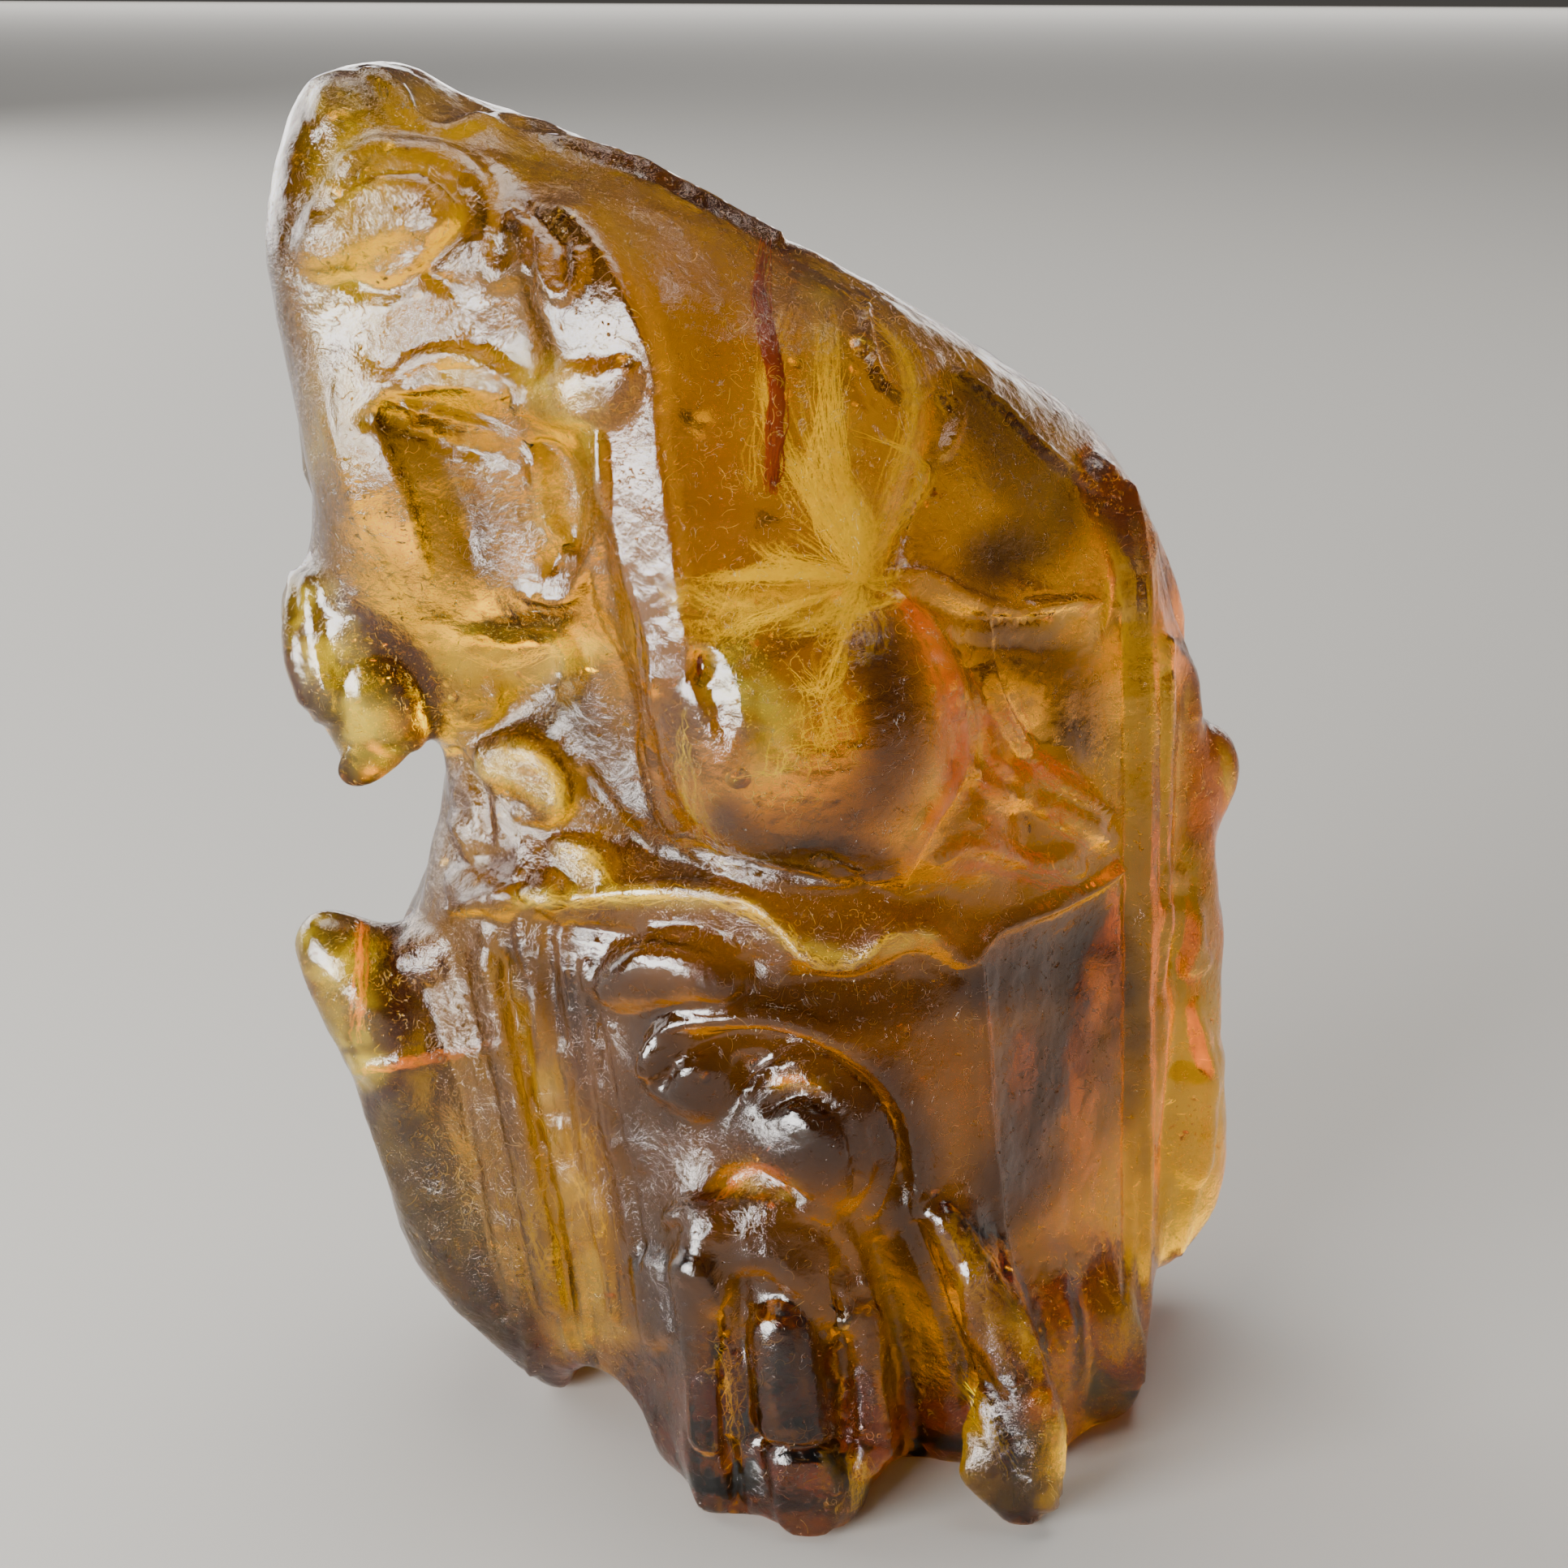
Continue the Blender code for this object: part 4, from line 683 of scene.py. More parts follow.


# Painted shade: facets, recesses and the parts under the collar and the belly, darkened towards
# SHADE: how much, then (u, v, half width).
SHADED = (
    (0.9, ((1210, 1210, 60), (1290, 1190, 100), (1350, 1240, 100), (1310, 1340, 120),
           (1260, 1430, 90), (1224, 1500, 50))),
    (0.6, ((1350, 1140, 60), (1376, 1260, 60), (1366, 1360, 50))),
    (0.85, ((1080, 800, 44), (1100, 880, 60), (1090, 960, 66), (1030, 1016, 60),
            (960, 1030, 46))),
    (0.6, ((1200, 490, 40), (1250, 560, 66), (1290, 640, 70), (1220, 690, 60))),
    (0.45, ((1230, 780, 50), (1300, 820, 70), (1340, 900, 60))),
    (0.6, ((880, 1214, 40), (1000, 1234, 56), (1140, 1224, 56))),
    (0.55, ((1090, 1330, 50), (1120, 1420, 60), (1110, 1500, 50), (1120, 1620, 50),
            (1124, 1740, 46))),
    (0.6, ((860, 1570, 60), (940, 1560, 70), (1000, 1600, 60), (970, 1760, 90))),
    (0.6, ((880, 1360, 70), (960, 1400, 90), (1020, 1400, 110))),
    (0.3, ((470, 520, 36), (520, 560, 60), (560, 620, 70), (590, 690, 54))),
    (0.45, ((700, 880, 60), (780, 980, 70), (850, 1074, 50))),
    (0.35, ((490, 1400, 60), (540, 1520, 70), (630, 1650, 50))),
    (0.45, ((810, 1250, 60), (800, 1400, 70), (806, 1540, 60), (830, 1660, 50))),
    (0.4, ((640, 1180, 40), (700, 1240, 60), (760, 1200, 50))),
    (0.55, ((1180, 1640, 36), (1240, 1760, 50), (1262, 1870, 56))),
    (0.9, ((900, 1010, 46), (940, 1044, 56), (1000, 1060, 54), (1080, 1064, 44))),
)

# Where fine dust under the polish turns the resin cloudy: how much, then (u, v, half width).
CLOUDY = (
    (0.16, ((380, 740, 50), (420, 830, 60), (470, 930, 54))),
    (0.12, ((560, 800, 50), (640, 810, 50), (730, 790, 40))),
    (0.14, ((390, 1150, 50), (430, 1230, 54), (450, 1310, 44))),
    (0.07, ((420, 130, 70), (440, 260, 80), (430, 400, 70), (420, 560, 60))),
    (0.08, ((560, 460, 50), (700, 490, 50), (690, 640, 50))),
    (0.16, ((606, 946, 34), (650, 946, 44), (690, 990, 34))),
    (0.12, ((700, 1050, 30), (744, 1086, 34))),
    (0.14, ((640, 1108, 16), (770, 1104, 20), (918, 1114, 20), (975, 1160, 18),
            (1060, 1180, 16), (1150, 1150, 14))),
    (0.16, ((894, 1462, 26), (930, 1448, 34), (972, 1466, 26))),
    (0.16, ((956, 1334, 20), (1008, 1342, 18))),
    (0.07, ((1010, 360, 40), (1026, 520, 44), (1050, 680, 50))),
    (0.07, ((850, 740, 40), (950, 750, 50), (1040, 730, 50))),
    (0.08, ((900, 830, 60), (960, 880, 60), (960, 940, 50))),
    (0.10, ((1260, 1640, 60), (1320, 1700, 70), (1370, 1750, 50))),
    (0.10, ((1400, 1500, 40), (1400, 1640, 44), (1460, 1420, 50))),
    (0.05, ((620, 1200, 40), (690, 1400, 50), (740, 1600, 50))),
    (0.06, ((700, 1640, 40), (780, 1640, 30))),
    (0.06, ((500, 1400, 60), (560, 1520, 70), (640, 1640, 60))),
    (0.10, ((1150, 790, 30), (1176, 900, 34), (1140, 1030, 34))),
    (0.06, ((1230, 980, 50), (1320, 1010, 50))),
)

# How rugged the polish is, from 0 for glassy to 1: the value, then (u, v, half width).
RUGGED = (
    (1.0, ((430, 110, 50), (500, 100, 50), (580, 150, 44))),
    (0.8, ((460, 400, 60), (560, 460, 60), (620, 480, 50))),
    (1.0, ((600, 900, 70), (700, 960, 80), (790, 1040, 60))),
    (0.9, ((560, 1300, 60), (600, 1500, 70), (640, 1640, 50))),
    (0.15, ((380, 750, 60), (420, 850, 70), (470, 930, 60))),
    (0.15, ((400, 1150, 60), (440, 1240, 60), (460, 1330, 40))),
    (0.1, ((900, 800, 110), (960, 900, 120), (1000, 1000, 90))),
    (0.3, ((724, 360, 80), (770, 540, 70), (810, 740, 60))),
    (0.2, ((1260, 1240, 110), (1300, 1450, 110), (1320, 1650, 90))),
    (0.2, ((870, 1560, 60), (960, 1560, 60), (990, 1760, 80))),
    (1.0, ((390, 330, 50), (396, 430, 50), (404, 540, 50))),
    (1.0, ((420, 260, 60), (500, 250, 60), (540, 280, 40))),
)


def swept(values, low, high):
    """A smooth step from 0 to 1 between two values."""
    t = np.clip((values - low) / (high - low), 0, 1)
    return t * t * (3 - 2 * t)


def tinted_by_place(lump):
    """Store the resin's tint on the skin, painted light and shade included: by height and side,
    then by the photograph.
    """
    places, seen = rests_in_view(lump)
    uv = seen_at(places)
    x, z = places[:, 0] * 1000, places[:, 2] * 1000
    tint = np.empty((len(places), 4))
    tint[:, 3] = PLAIN_POLISH
    for value, points in RUGGED:
        tint[:, 3] += (value - tint[:, 3]) * stroke_weight(uv, points, True) * seen

    def over(colour, share):
        tint[:, :3] += (np.array(colour) - tint[:, :3]) * share[:, None]

    # Partly the resin's own colour, partly painted light: lighter gold at the top and on the
    # left, where the window light enters, and orange low on the right, where that light gathers.
    tint[:, :3] = LOWER_TINT
    over(UPPER_TINT, swept(z, 40, 60))
    over(GOLD, np.maximum(swept(-x, 6, 20) * swept(z, 40, 56), swept(-x, 22, 30)))
    over(ORANGE, swept(x, 14, 28) * swept(-z, -36, -12))
    over(BROWN, swept(-places[:, 1] * 1000, 15, 18) * swept(x, 8, 12) * swept(-z, -26, -20))
    for colour, strength, points in TINTS:
        over(colour, stroke_weight(uv, points) * strength * seen)
    # Painted shade: each SHADED stroke darkens the tint towards SHADE.
    for strength, points in SHADED:
        share = stroke_weight(uv, points) * strength * seen
        tint[:, :3] *= np.array(SHADE) ** share[:, None]
    layer = lump.data.color_attributes.new("tint", "FLOAT_COLOR", "POINT")
    layer.data.foreach_set("color", tint.ravel())
    cloudy = np.zeros(len(uv))
    for value, points in CLOUDY:
        cloudy = np.maximum(cloudy, value * stroke_weight(uv, points) * seen)
    for view in clear_views:
        away = np.linalg.norm(uv - view, axis=1) / CLEAR_REACH
        cloudy *= swept(away, 0.7, 1.6)
    layer = lump.data.attributes.new("cloudy", "FLOAT", "POINT")
    layer.data.foreach_set("value", cloudy)


# Points of the skin drawn out: where, which way and how far, and the reach, in millimetres.
DRAWN_OUT = (
    ((470, 940), (-2.6, 0.0, -1.0), 3.6),
    ((1392, 580), (-1.6, 0.0, -0.6), 7.0),
    ((1420, 740), (-1.2, 0.0, 0.0), 8.0),
    ((1228, 1770), (-2.6, 0.0, 0.0), 4.6),
    ((1232, 1820), (-2.4, 0.0, 0.0), 4.0),
)


def drawn_out(lump, skin):
    """Pull small points of the skin out, as the hooked tip of the jaw is."""
    for (u, v), pull, reach in DRAWN_OUT:
        middle = skin.ray_cast(CAMERA_PLACE, sight(u, v))[0]
        if middle is None:
            continue
        for vert in lump.data.vertices:
            near = (vert.co - middle).length / (reach * MM)
            if near < 1:
                vert.co += Vector(pull) * MM * (1 - near * near) ** 2


# Waves in the skin: name, size and height in millimetres.
SWELLS = (("swells", 7.0, 0.5), ("ripples", 2.2, 0.16))


def rippled(lump):
    """Slow swells and small ripples of cooled resin all over the skin."""
    for name, size, amount in SWELLS:
        waves = bpy.data.textures.new(name, "CLOUDS")
        waves.noise_scale = size * MM
        waves.noise_depth = 1
        finished(lump, "DISPLACE", direction="NORMAL", mid_level=0.5,
                 strength=amount * MM, texture=waves, texture_coords="LOCAL")
        bpy.data.textures.remove(waves)


def kept_in_box(lump):
    """No point of the skin leaves the solid's own box, and the feet stay flat."""
    low, high = cad_box
    for vert in lump.data.vertices:
        for k in range(3):
            vert.co[k] = min(max(vert.co[k], low[k]), high[k])


# Finishes.

def new_finish(name, colour, roughness, **sockets):
    """A principled finish with plain values on its own sockets."""
    material = bpy.data.materials.new(name)
    material.use_nodes = True
    shader = material.node_tree.nodes["Principled BSDF"]
    shader.inputs["Base Color"].default_value = (*colour, 1)
    shader.inputs["Roughness"].default_value = roughness
    for socket, value in sockets.items():
        shader.inputs[socket.replace("_", " ")].default_value = value
    return material


def pattern(tree, kind, where, **values):
    """A pattern read from the piece's own coordinates."""
    made = tree.nodes.new(kind)
    for socket, value in values.items():
        made.inputs[socket].default_value = value
    tree.links.new(where, made.inputs["Vector"])
    return made


def worked_out(tree, how, first, second, held=False):
    """One step of arithmetic between two values or sockets."""
    step = tree.nodes.new("ShaderNodeMath")
    step.operation = how
    step.use_clamp = held
    for socket, value in zip(step.inputs, (first, second)):
        if isinstance(value, (int, float)):
            socket.default_value = value
        else:
            tree.links.new(value, socket)
    return step.outputs[0]


def eased(tree, value, low, high, to_low=0.0, to_high=1.0):
    """A value carried smoothly from one range to another."""
    step = tree.nodes.new("ShaderNodeMapRange")
    step.interpolation_type = "SMOOTHSTEP"
    tree.links.new(value, step.inputs["Value"])
    for socket, number in (("From Min", low), ("From Max", high),
                           ("To Min", to_low), ("To Max", to_high)):
        step.inputs[socket].default_value = number
    return step.outputs[0]


def tinted(tree, share, below, above):
    """Two colours, or colour sockets, mixed by a share."""
    mix = tree.nodes.new("ShaderNodeMix")
    mix.data_type = "RGBA"
    tree.links.new(share, mix.inputs["Factor"])
    for socket, colour in ((mix.inputs[6], below), (mix.inputs[7], above)):
        if isinstance(colour, tuple):
            socket.default_value = (*colour, 1)
        else:
            tree.links.new(colour, socket)
    return mix.outputs[2]


def bumped(tree, shader, steps):
    """Bumps laid one over another: (height socket, strength, distance)."""
    before = None
    for height, strength, distance in steps:
        bump = tree.nodes.new("ShaderNodeBump")
        bump.inputs["Strength"].default_value = strength
        bump.inputs["Distance"].default_value = distance
        tree.links.new(height, bump.inputs["Height"])
        if before:
            tree.links.new(before, bump.inputs["Normal"])
        before = bump.outputs["Normal"]
    tree.links.new(before, shader.inputs["Normal"])


# What the resin lets through, and how strongly it takes up the rest, per metre.
RESIN_DEPTH, RESIN_DENSITY = (0.963, 0.925, 0.005), 400.0


def clear_resin():
    """Clear amber, with the tint (painted light and shade included), dust and polish that its
    skin carries from place to place.
    """
    material = new_finish("clear amber resin", (1, 0.9, 0.7), 0.04,
                          Transmission_Weight=1.0, IOR=RESIN_IOR)
    tree, shader = material.node_tree, material.node_tree.nodes["Principled BSDF"]
    depth = tree.nodes.new("ShaderNodeVolumeAbsorption")
    depth.inputs["Color"].default_value = (*RESIN_DEPTH, 1)
    depth.inputs["Density"].default_value = RESIN_DENSITY
    tree.links.new(depth.outputs["Volume"], tree.nodes["Material Output"].inputs["Volume"])
    where = tree.nodes.new("ShaderNodeTexCoord").outputs["Object"]
    cloud = pattern(tree, "ShaderNodeTexNoise", where, Scale=70.0, Detail=3.0).outputs["Fac"]
    painted = tree.nodes.new("ShaderNodeAttribute")
    painted.attribute_name = "tint"
    body = tinted(tree, eased(tree, cloud, 0.48, 0.72, 0.0, 0.4), painted.outputs["Color"],
                  (0.50, 0.32, 0.05))
    tree.links.new(body, shader.inputs["Base Color"])
    dust = tree.nodes.new("ShaderNodeAttribute")
    dust.attribute_name = "cloudy"
    streak = pattern(tree, "ShaderNodeTexNoise", where, Scale=260.0, Detail=4.0,
                     Distortion=0.8).outputs["Fac"]
    dusty = worked_out(tree, "MULTIPLY", dust.outputs["Fac"],
                       eased(tree, streak, 0.35, 0.65, 0.3, 1.7))
    tree.links.new(worked_out(tree, "SUBTRACT", 1.0, dusty, True),
                   shader.inputs["Transmission Weight"])
    swell = pattern(tree, "ShaderNodeTexNoise", where, Scale=330.0, Detail=2.0).outputs["Fac"]
    grain = pattern(tree, "ShaderNodeTexNoise", where, Scale=1300.0, Detail=5.0,
                    Roughness=0.65).outputs["Fac"]
    rugged = worked_out(tree, "MULTIPLY", eased(tree, cloud, 0.38, 0.54, 0.15, 1.5),
                        painted.outputs["Alpha"], True)
    grain = worked_out(tree, "MULTIPLY", grain, eased(tree, rugged, 0.0, 1.0, 0.25, 1.0))
    curl = pattern(tree, "ShaderNodeTexNoise", where, Scale=620.0, Detail=3.0,
                   Distortion=1.2).outputs["Fac"]
    line = worked_out(tree, "ABSOLUTE", worked_out(tree, "SUBTRACT", curl, 0.5), 0.0)
    patch = pattern(tree, "ShaderNodeTexNoise", where, Scale=900.0, Detail=1.0).outputs["Fac"]
    scratch = worked_out(tree, "MULTIPLY", eased(tree, line, 0.0, 0.012, 1.0, 0.0),
                         eased(tree, patch, 0.5, 0.58))
    pit = pattern(tree, "ShaderNodeTexVoronoi", where, Scale=1100.0).outputs["Distance"]
    speck = worked_out(tree, "MULTIPLY", eased(tree, pit, 0.0, 0.16, 1.0, 0.0),
                       eased(tree, patch, 0.52, 0.62))
    marks = worked_out(tree, "MAXIMUM", scratch, speck)
    polish = eased(tree, rugged, 0.0, 1.0, 0.015, 0.07)
    rough = worked_out(tree, "MAXIMUM", polish, eased(tree, marks, 0.0, 1.0, 0.0, 0.4))
    tree.links.new(rough, shader.inputs["Roughness"])
    bumped(tree, shader, ((swell, 0.5, 0.0006), (grain, 0.8, 0.00022),
                          (marks, 0.8, -0.00022)))
    return material


# What is sealed in the resin.

def strands(name, lines, material):
    """Round strands through places in the resin, each point with its own radius."""
    shape = bpy.data.curves.new(name, "CURVE")
    shape.dimensions = "3D"
    shape.bevel_depth = 1.0
    shape.bevel_resolution = 0
    shape.use_fill_caps = True
    for line in lines:
        run = shape.splines.new("POLY")
        run.points.add(len(line) - 1)
        for point, (place, radius) in zip(run.points, line):
            point.co = (*place, 1)
            point.radius = radius
    obj = new_piece(name, shape)
    bpy.ops.object.convert(target="MESH")
    obj.data.materials.append(material)
    bpy.ops.object.shade_smooth()
    return sealed(obj)


def sealed(obj, node_name=None):
    """Let a piece ride with the lump; with a node's name, let it replace that node."""
    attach(obj, "root")
    if node_name:
        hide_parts(node_name)
    return obj


def wandering(skin, route, count, spread, radius, chance, length=1.0):
    """Strands that follow a route (u, v, depth) loosely, each over a part of its length."""
    path = smooth_route([(u, v, depth) for u, v, depth in route], 4)
    lines = []
    for k in range(count):
        share = length * chance.uniform(0.5, 1)
        first = int(chance.uniform(0, 1 - share) * (len(path) - 1))
        last = min(len(path) - 1, first + max(3, int(share * (len(path) - 1))))
        side, lean = chance.gauss(0, 0.6), chance.gauss(0, 0.7)
        phase, waves = chance.uniform(0, 6.3), chance.uniform(1, 3)
        line = []
        for i in range(first, last + 1):
            t = (i - first) / max(1, last - first)
            wave = math.sin(phase + waves * 6.3 * t)
            u = path[i][0] + spread * (side + 0.3 * wave + 0.8 * lean * (t - 0.5))
            v = path[i][1] + spread * (0.4 * lean + 0.3 * math.cos(phase + waves * 5 * t))
            place = under_skin(skin, u, v, path[i][2] * (1 + 0.3 * abs(side)))
            if hides_insect(u, v):
                if len(line) > 2:
                    lines.append(line)
                line = []
            elif place is not None:
                thick = radius * MM * (0.25 + 0.75 * math.sin(math.pi * t))
                line.append((place, thick))
        if len(line) > 2:
            lines.append(line)
    return lines


# Routes of the veins and wisps: points (u, v, depth in millimetres).
VEIN = ((944, 296, 0.5), (936, 360, 0.5), (948, 420, 0.5), (958, 480, 0.5), (954, 540, 0.5),
        (950, 590, 0.6), (950, 620, 0.8))
KNOT = (1064, 712, 1.0)
# Where the fan of wisps from the knot reaches, and how many strands go there.
FAN_ENDS = (((1000, 330, 1.0), 90), ((1040, 360, 0.9), 50), ((978, 430, 1.2), 40),
            ((1022, 520, 0.8), 90), ((990, 580, 1.0), 70), ((968, 640, 1.0), 30),
            ((850, 722, 1.0), 90), ((880, 800, 1.2), 60), ((960, 790, 1.2), 50),
            ((1110, 640, 0.8), 30), ((1036, 800, 0.9), 40))
FOAM = ((836, 716, 2.6), (880, 738, 3.0), (930, 742, 3.4), (980, 722, 3.4), (1040, 700, 3.2),
        (1066, 706, 3.0))
FOAM_BELOW = ((1060, 712, 3.2), (990, 740, 3.4), (920, 762, 3.4), (890, 792, 3.2),
              (880, 812, 3.0))
YELLOW_RIM = ((1024, 796, 2.2), (1026, 836, 2.2), (1016, 880, 2.0), (1000, 920, 1.8),
              (966, 948, 1.8), (940, 962, 1.6))
LEFT_RIM = ((846, 868, 1.4), (842, 910, 1.4), (844, 956, 1.4), (856, 1006, 1.4),
            (880, 1050, 1.4), (930, 1076, 1.4))
ORANGE_VEIN = ((1090, 726, 2.4), (1122, 746, 2.4), (1150, 796, 2.4), (1172, 860, 2.2),
               (1180, 930, 2.0), (1166, 980, 2.0), (1140, 1020, 2.0), (1112, 1086, 1.6))
DRAPES = (((1200, 980, 2.4), (1260, 940, 2.6), (1320, 980, 2.6), (1360, 1000, 2.4)),
          ((1180, 1040, 2.0), (1250, 1010, 2.4), (1310, 1030, 2.4), (1360, 1060, 2.0)),
          ((1150, 1090, 1.6), (1220, 1060, 2.0), (1300, 1080, 2.0), (1350, 1100, 1.6)),
          ((1190, 900, 2.0), (1230, 880, 2.4), (1250, 930, 2.4), (1220, 990, 2.2)))
HORN_LINE = ((448, 1128, 1.6), (446, 1180, 2.0), (444, 1240, 2.0), (438, 1300, 1.6))
BAND_CROSSING = ((446, 1326, 1.4), (510, 1306, 1.6), (570, 1294, 1.6), (622, 1284, 1.4))
# Routes for strands with a painted glow in the lower parts.
LOWER_GLOW = (((1150, 1490, 2.2), (1190, 1560, 2.4), (1230, 1650, 2.4), (1270, 1740, 2.0)),
              ((640, 1420, 1.6), (660, 1540, 1.8), (680, 1640, 1.6)),
              ((712, 1380, 1.6), (730, 1480, 1.8), (752, 1580, 1.6)),
              ((900, 1640, 1.6), (900, 1740, 1.8), (904, 1840, 1.6)),
              ((1240, 1600, 3.0), (1290, 1680, 3.4), (1340, 1740, 3.0)),
              ((1400, 1480, 2.0), (1400, 1600, 2.4), (1390, 1720, 2.0)),
              ((1050, 1780, 1.6), (1056, 1830, 1.8), (1050, 1880, 1.4)))


# Coloured resin close under the skin, as routes (u, v, depth): the red pit, then the yellow
# lip and blobs, and the orange door and eye.
PIT = ((862, 808, 0.15), (862, 822, 0.2), (862, 836, 0.15))
LIP = ((640, 1108, 0.5), (700, 1110, 0.5), (770, 1106, 0.5), (850, 1104, 0.5), (918, 1118, 0.5),
       (962, 1148, 0.5), (986, 1176, 0.5), (1022, 1190, 0.5), (1060, 1184, 0.5),
       (1092, 1156, 0.5), (1140, 1150, 0.5))
BLOBS = (((606, 952, 0.5), (640, 926, 0.6), (680, 950, 0.6), (690, 985, 0.5), (660, 1004, 0.5)),
         ((694, 1044, 0.5), (722, 1052, 0.5), (744, 1078, 0.5), (742, 1100, 0.5)),
         ((560, 800, 1.0), (620, 820, 1.0), (680, 800, 0.8), (730, 780, 0.6)),
         ((1180, 1690, 0.8), (1220, 1760, 0.8), (1250, 1830, 0.6)),
         ((1056, 1790, 0.6), (1060, 1840, 0.6), (1050, 1880, 0.6)))
DOOR = ((888, 1476, 0.4), (908, 1450, 0.5), (932, 1438, 0.5), (958, 1450, 0.5), (984, 1474, 0.4))
EYE = ((950, 1338, 0.4), (968, 1330, 0.5), (988, 1328, 0.5), (1012, 1342, 0.4))


def veins(skin):
    """The red vein and pit, and the orange veins, drapes, door and eye; the orange ones glow
    with painted light.
    """
    chance = random.Random(11)
    red = new_finish("red-orange resin vein", (0.30, 0.03, 0.0), 0.4)
    lines = wandering(skin, VEIN, 80, 8, 0.09, chance, 0.7)
    lines += wandering(skin, PIT, 16, 4, 0.11, chance)
    strands("red_vein", lines, red)
    # Painted glow: the orange strands give off a little light of their own.
    orange = new_finish("orange resin vein", (1.0, 0.32, 0.0), 0.4,
                        Emission_Color=(1.0, 0.40, 0.0, 1), Emission_Strength=0.12)
    lines = wandering(skin, ORANGE_VEIN, 90, 18, 0.045, chance, 0.6)
    for route in DRAPES:
        lines += wandering(skin, route, 34, 24, 0.04, chance, 0.7)
    lines += wandering(skin, HORN_LINE, 12, 7, 0.06, chance)
    lines += wandering(skin, BAND_CROSSING, 10, 10, 0.04, chance, 0.6)
    lines += wandering(skin, DOOR, 70, 9, 0.05, chance, 0.6)
    lines += wandering(skin, EYE, 44, 6, 0.045, chance, 0.6)
    strands("orange_veins_painted_glow", lines, orange)


def yellow_wisps_painted_glow(skin):
    """The fan of wisps from the knot, its foam, the rims, the lip and the blobs, all with a
    painted glow.
    """
    chance = random.Random(23)
    # Painted glow: the yellow strands give off a little light of their own.
    pale = new_finish("yellow cloud of fine bubbles with painted glow", (1.0, 0.83, 0.0), 0.5,
                      Emission_Color=(1.0, 0.74, 0.0, 1), Emission_Strength=0.14)
    lines = []
    for end, count in FAN_ENDS:
        half = [(a + b) / 2 for a, b in zip(KNOT, end)]
        for k in range(3):
            bent = (half[0] + chance.gauss(0, 44), half[1] + chance.gauss(0, 44), half[2])
            route = (KNOT, bent, (end[0] + chance.gauss(0, 16), end[1], end[2]))
            lines += wandering(skin, route, count // 3, 13, 0.036, chance, 0.85)
    lines += wandering(skin, FOAM, 60, 24, 0.034, chance, 0.4)
    lines += wandering(skin, FOAM_BELOW, 60, 34, 0.034, chance, 0.4)
    lines += wandering(skin, YELLOW_RIM, 40, 26, 0.03, chance, 0.6)
    lines += wandering(skin, LEFT_RIM, 20, 9, 0.026, chance, 0.5)
    for route in LOWER_GLOW:
        lines += wandering(skin, route, 16, 22, 0.03, chance, 0.7)
    lines += wandering(skin, LIP, 90, 13, 0.035, chance, 0.16)
    for route in BLOBS:
        lines += wandering(skin, route, 26, 13, 0.035, chance, 0.6)
    strands("yellow_wisps_painted_glow", lines, pale)


# Where fine curled lint lies on the skin: the middle, the reach and how many.
LINT_PATCHES = (
    (900, 420, 90, 50), (930, 600, 80, 40), (1100, 420, 60, 40), (1240, 620, 90, 50),
    (1060, 860, 90, 60), (1280, 840, 80, 50), (1180, 980, 70, 30), (980, 1010, 80, 40),
    (1060, 1210, 120, 50), (1280, 1240, 110, 50), (1160, 1420, 90, 40), (960, 1240, 70, 30),
    (560, 1460, 80, 40), (960, 1620, 70, 24), (1000, 1800, 70, 20), (800, 1030, 60, 30),
    (560, 620, 90, 30), (1330, 1000, 50, 20),
)


def lint(skin):
    """Hair-fine curls of pale lint and scratch, just under the polish."""
    chance = random.Random(41)
    pale = new_finish("pale lint", (1.0, 0.84, 0.52), 0.6)
    lines = []
    for u, v, reach, count in LINT_PATCHES:
        for k in range(count * 3 // 2):
            at_u, at_v = u + chance.gauss(0, reach * 0.6), v + chance.gauss(0, reach * 0.6)
            way, bend = chance.uniform(0, 6.3), chance.gauss(0, 0.9)
            line = []
            for step in range(5):
                place = under_skin(skin, at_u, at_v, 0.06)
                if place is not None:
                    line.append((place, chance.uniform(0.010, 0.024) * MM))
                at_u, at_v = at_u + 5 * math.cos(way), at_v + 5 * math.sin(way)
                way += bend
            if hides_insect(at_u, at_v):
                continue
            if len(line) == 5 and (line[0][0] - line[-1][0]).length < 2.5 * MM:
                lines.append(line)
    strands("pale_lint", lines, pale)


# Small bright flakes: the middle, the reach, how many, and how deep in millimetres.
FLAKE_PATCHES = (
    (1010, 430, 90, 26, 3.0), (1125, 620, 40, 16, 1.2), (900, 760, 60, 26, 3.0),
    (450, 200, 70, 30, 2.0), (470, 330, 70, 30, 2.0), (440, 820, 60, 34, 2.0),
    (500, 900, 40, 16, 1.6), (600, 830, 60, 30, 2.0), (700, 800, 50, 20, 2.0),
    (640, 960, 50, 22, 1.6), (580, 1060, 40, 20, 1.6), (780, 1000, 60, 26, 2.4),
    (1180, 860, 40, 24, 1.8), (1260, 1010, 80, 30, 2.0), (520, 1180, 40, 22, 1.6),
    (560, 1520, 70, 34, 2.4), (640, 1600, 40, 20, 1.6), (740, 1580, 30, 16, 1.6),
    (940, 1450, 40, 26, 1.0), (980, 1335, 26, 12, 1.0), (1250, 1740, 40, 26, 1.6),
    (1040, 1860, 30, 14, 1.4), (1470, 900, 30, 20, 1.4), (1470, 1380, 30, 20, 1.6),
    (1200, 1240, 140, 26, 2.4), (1100, 1260, 120, 24, 2.2), (920, 1640, 60, 16, 2.0),
    (1350, 600, 40, 16, 1.0), (1300, 1600, 80, 16, 2.4),
)


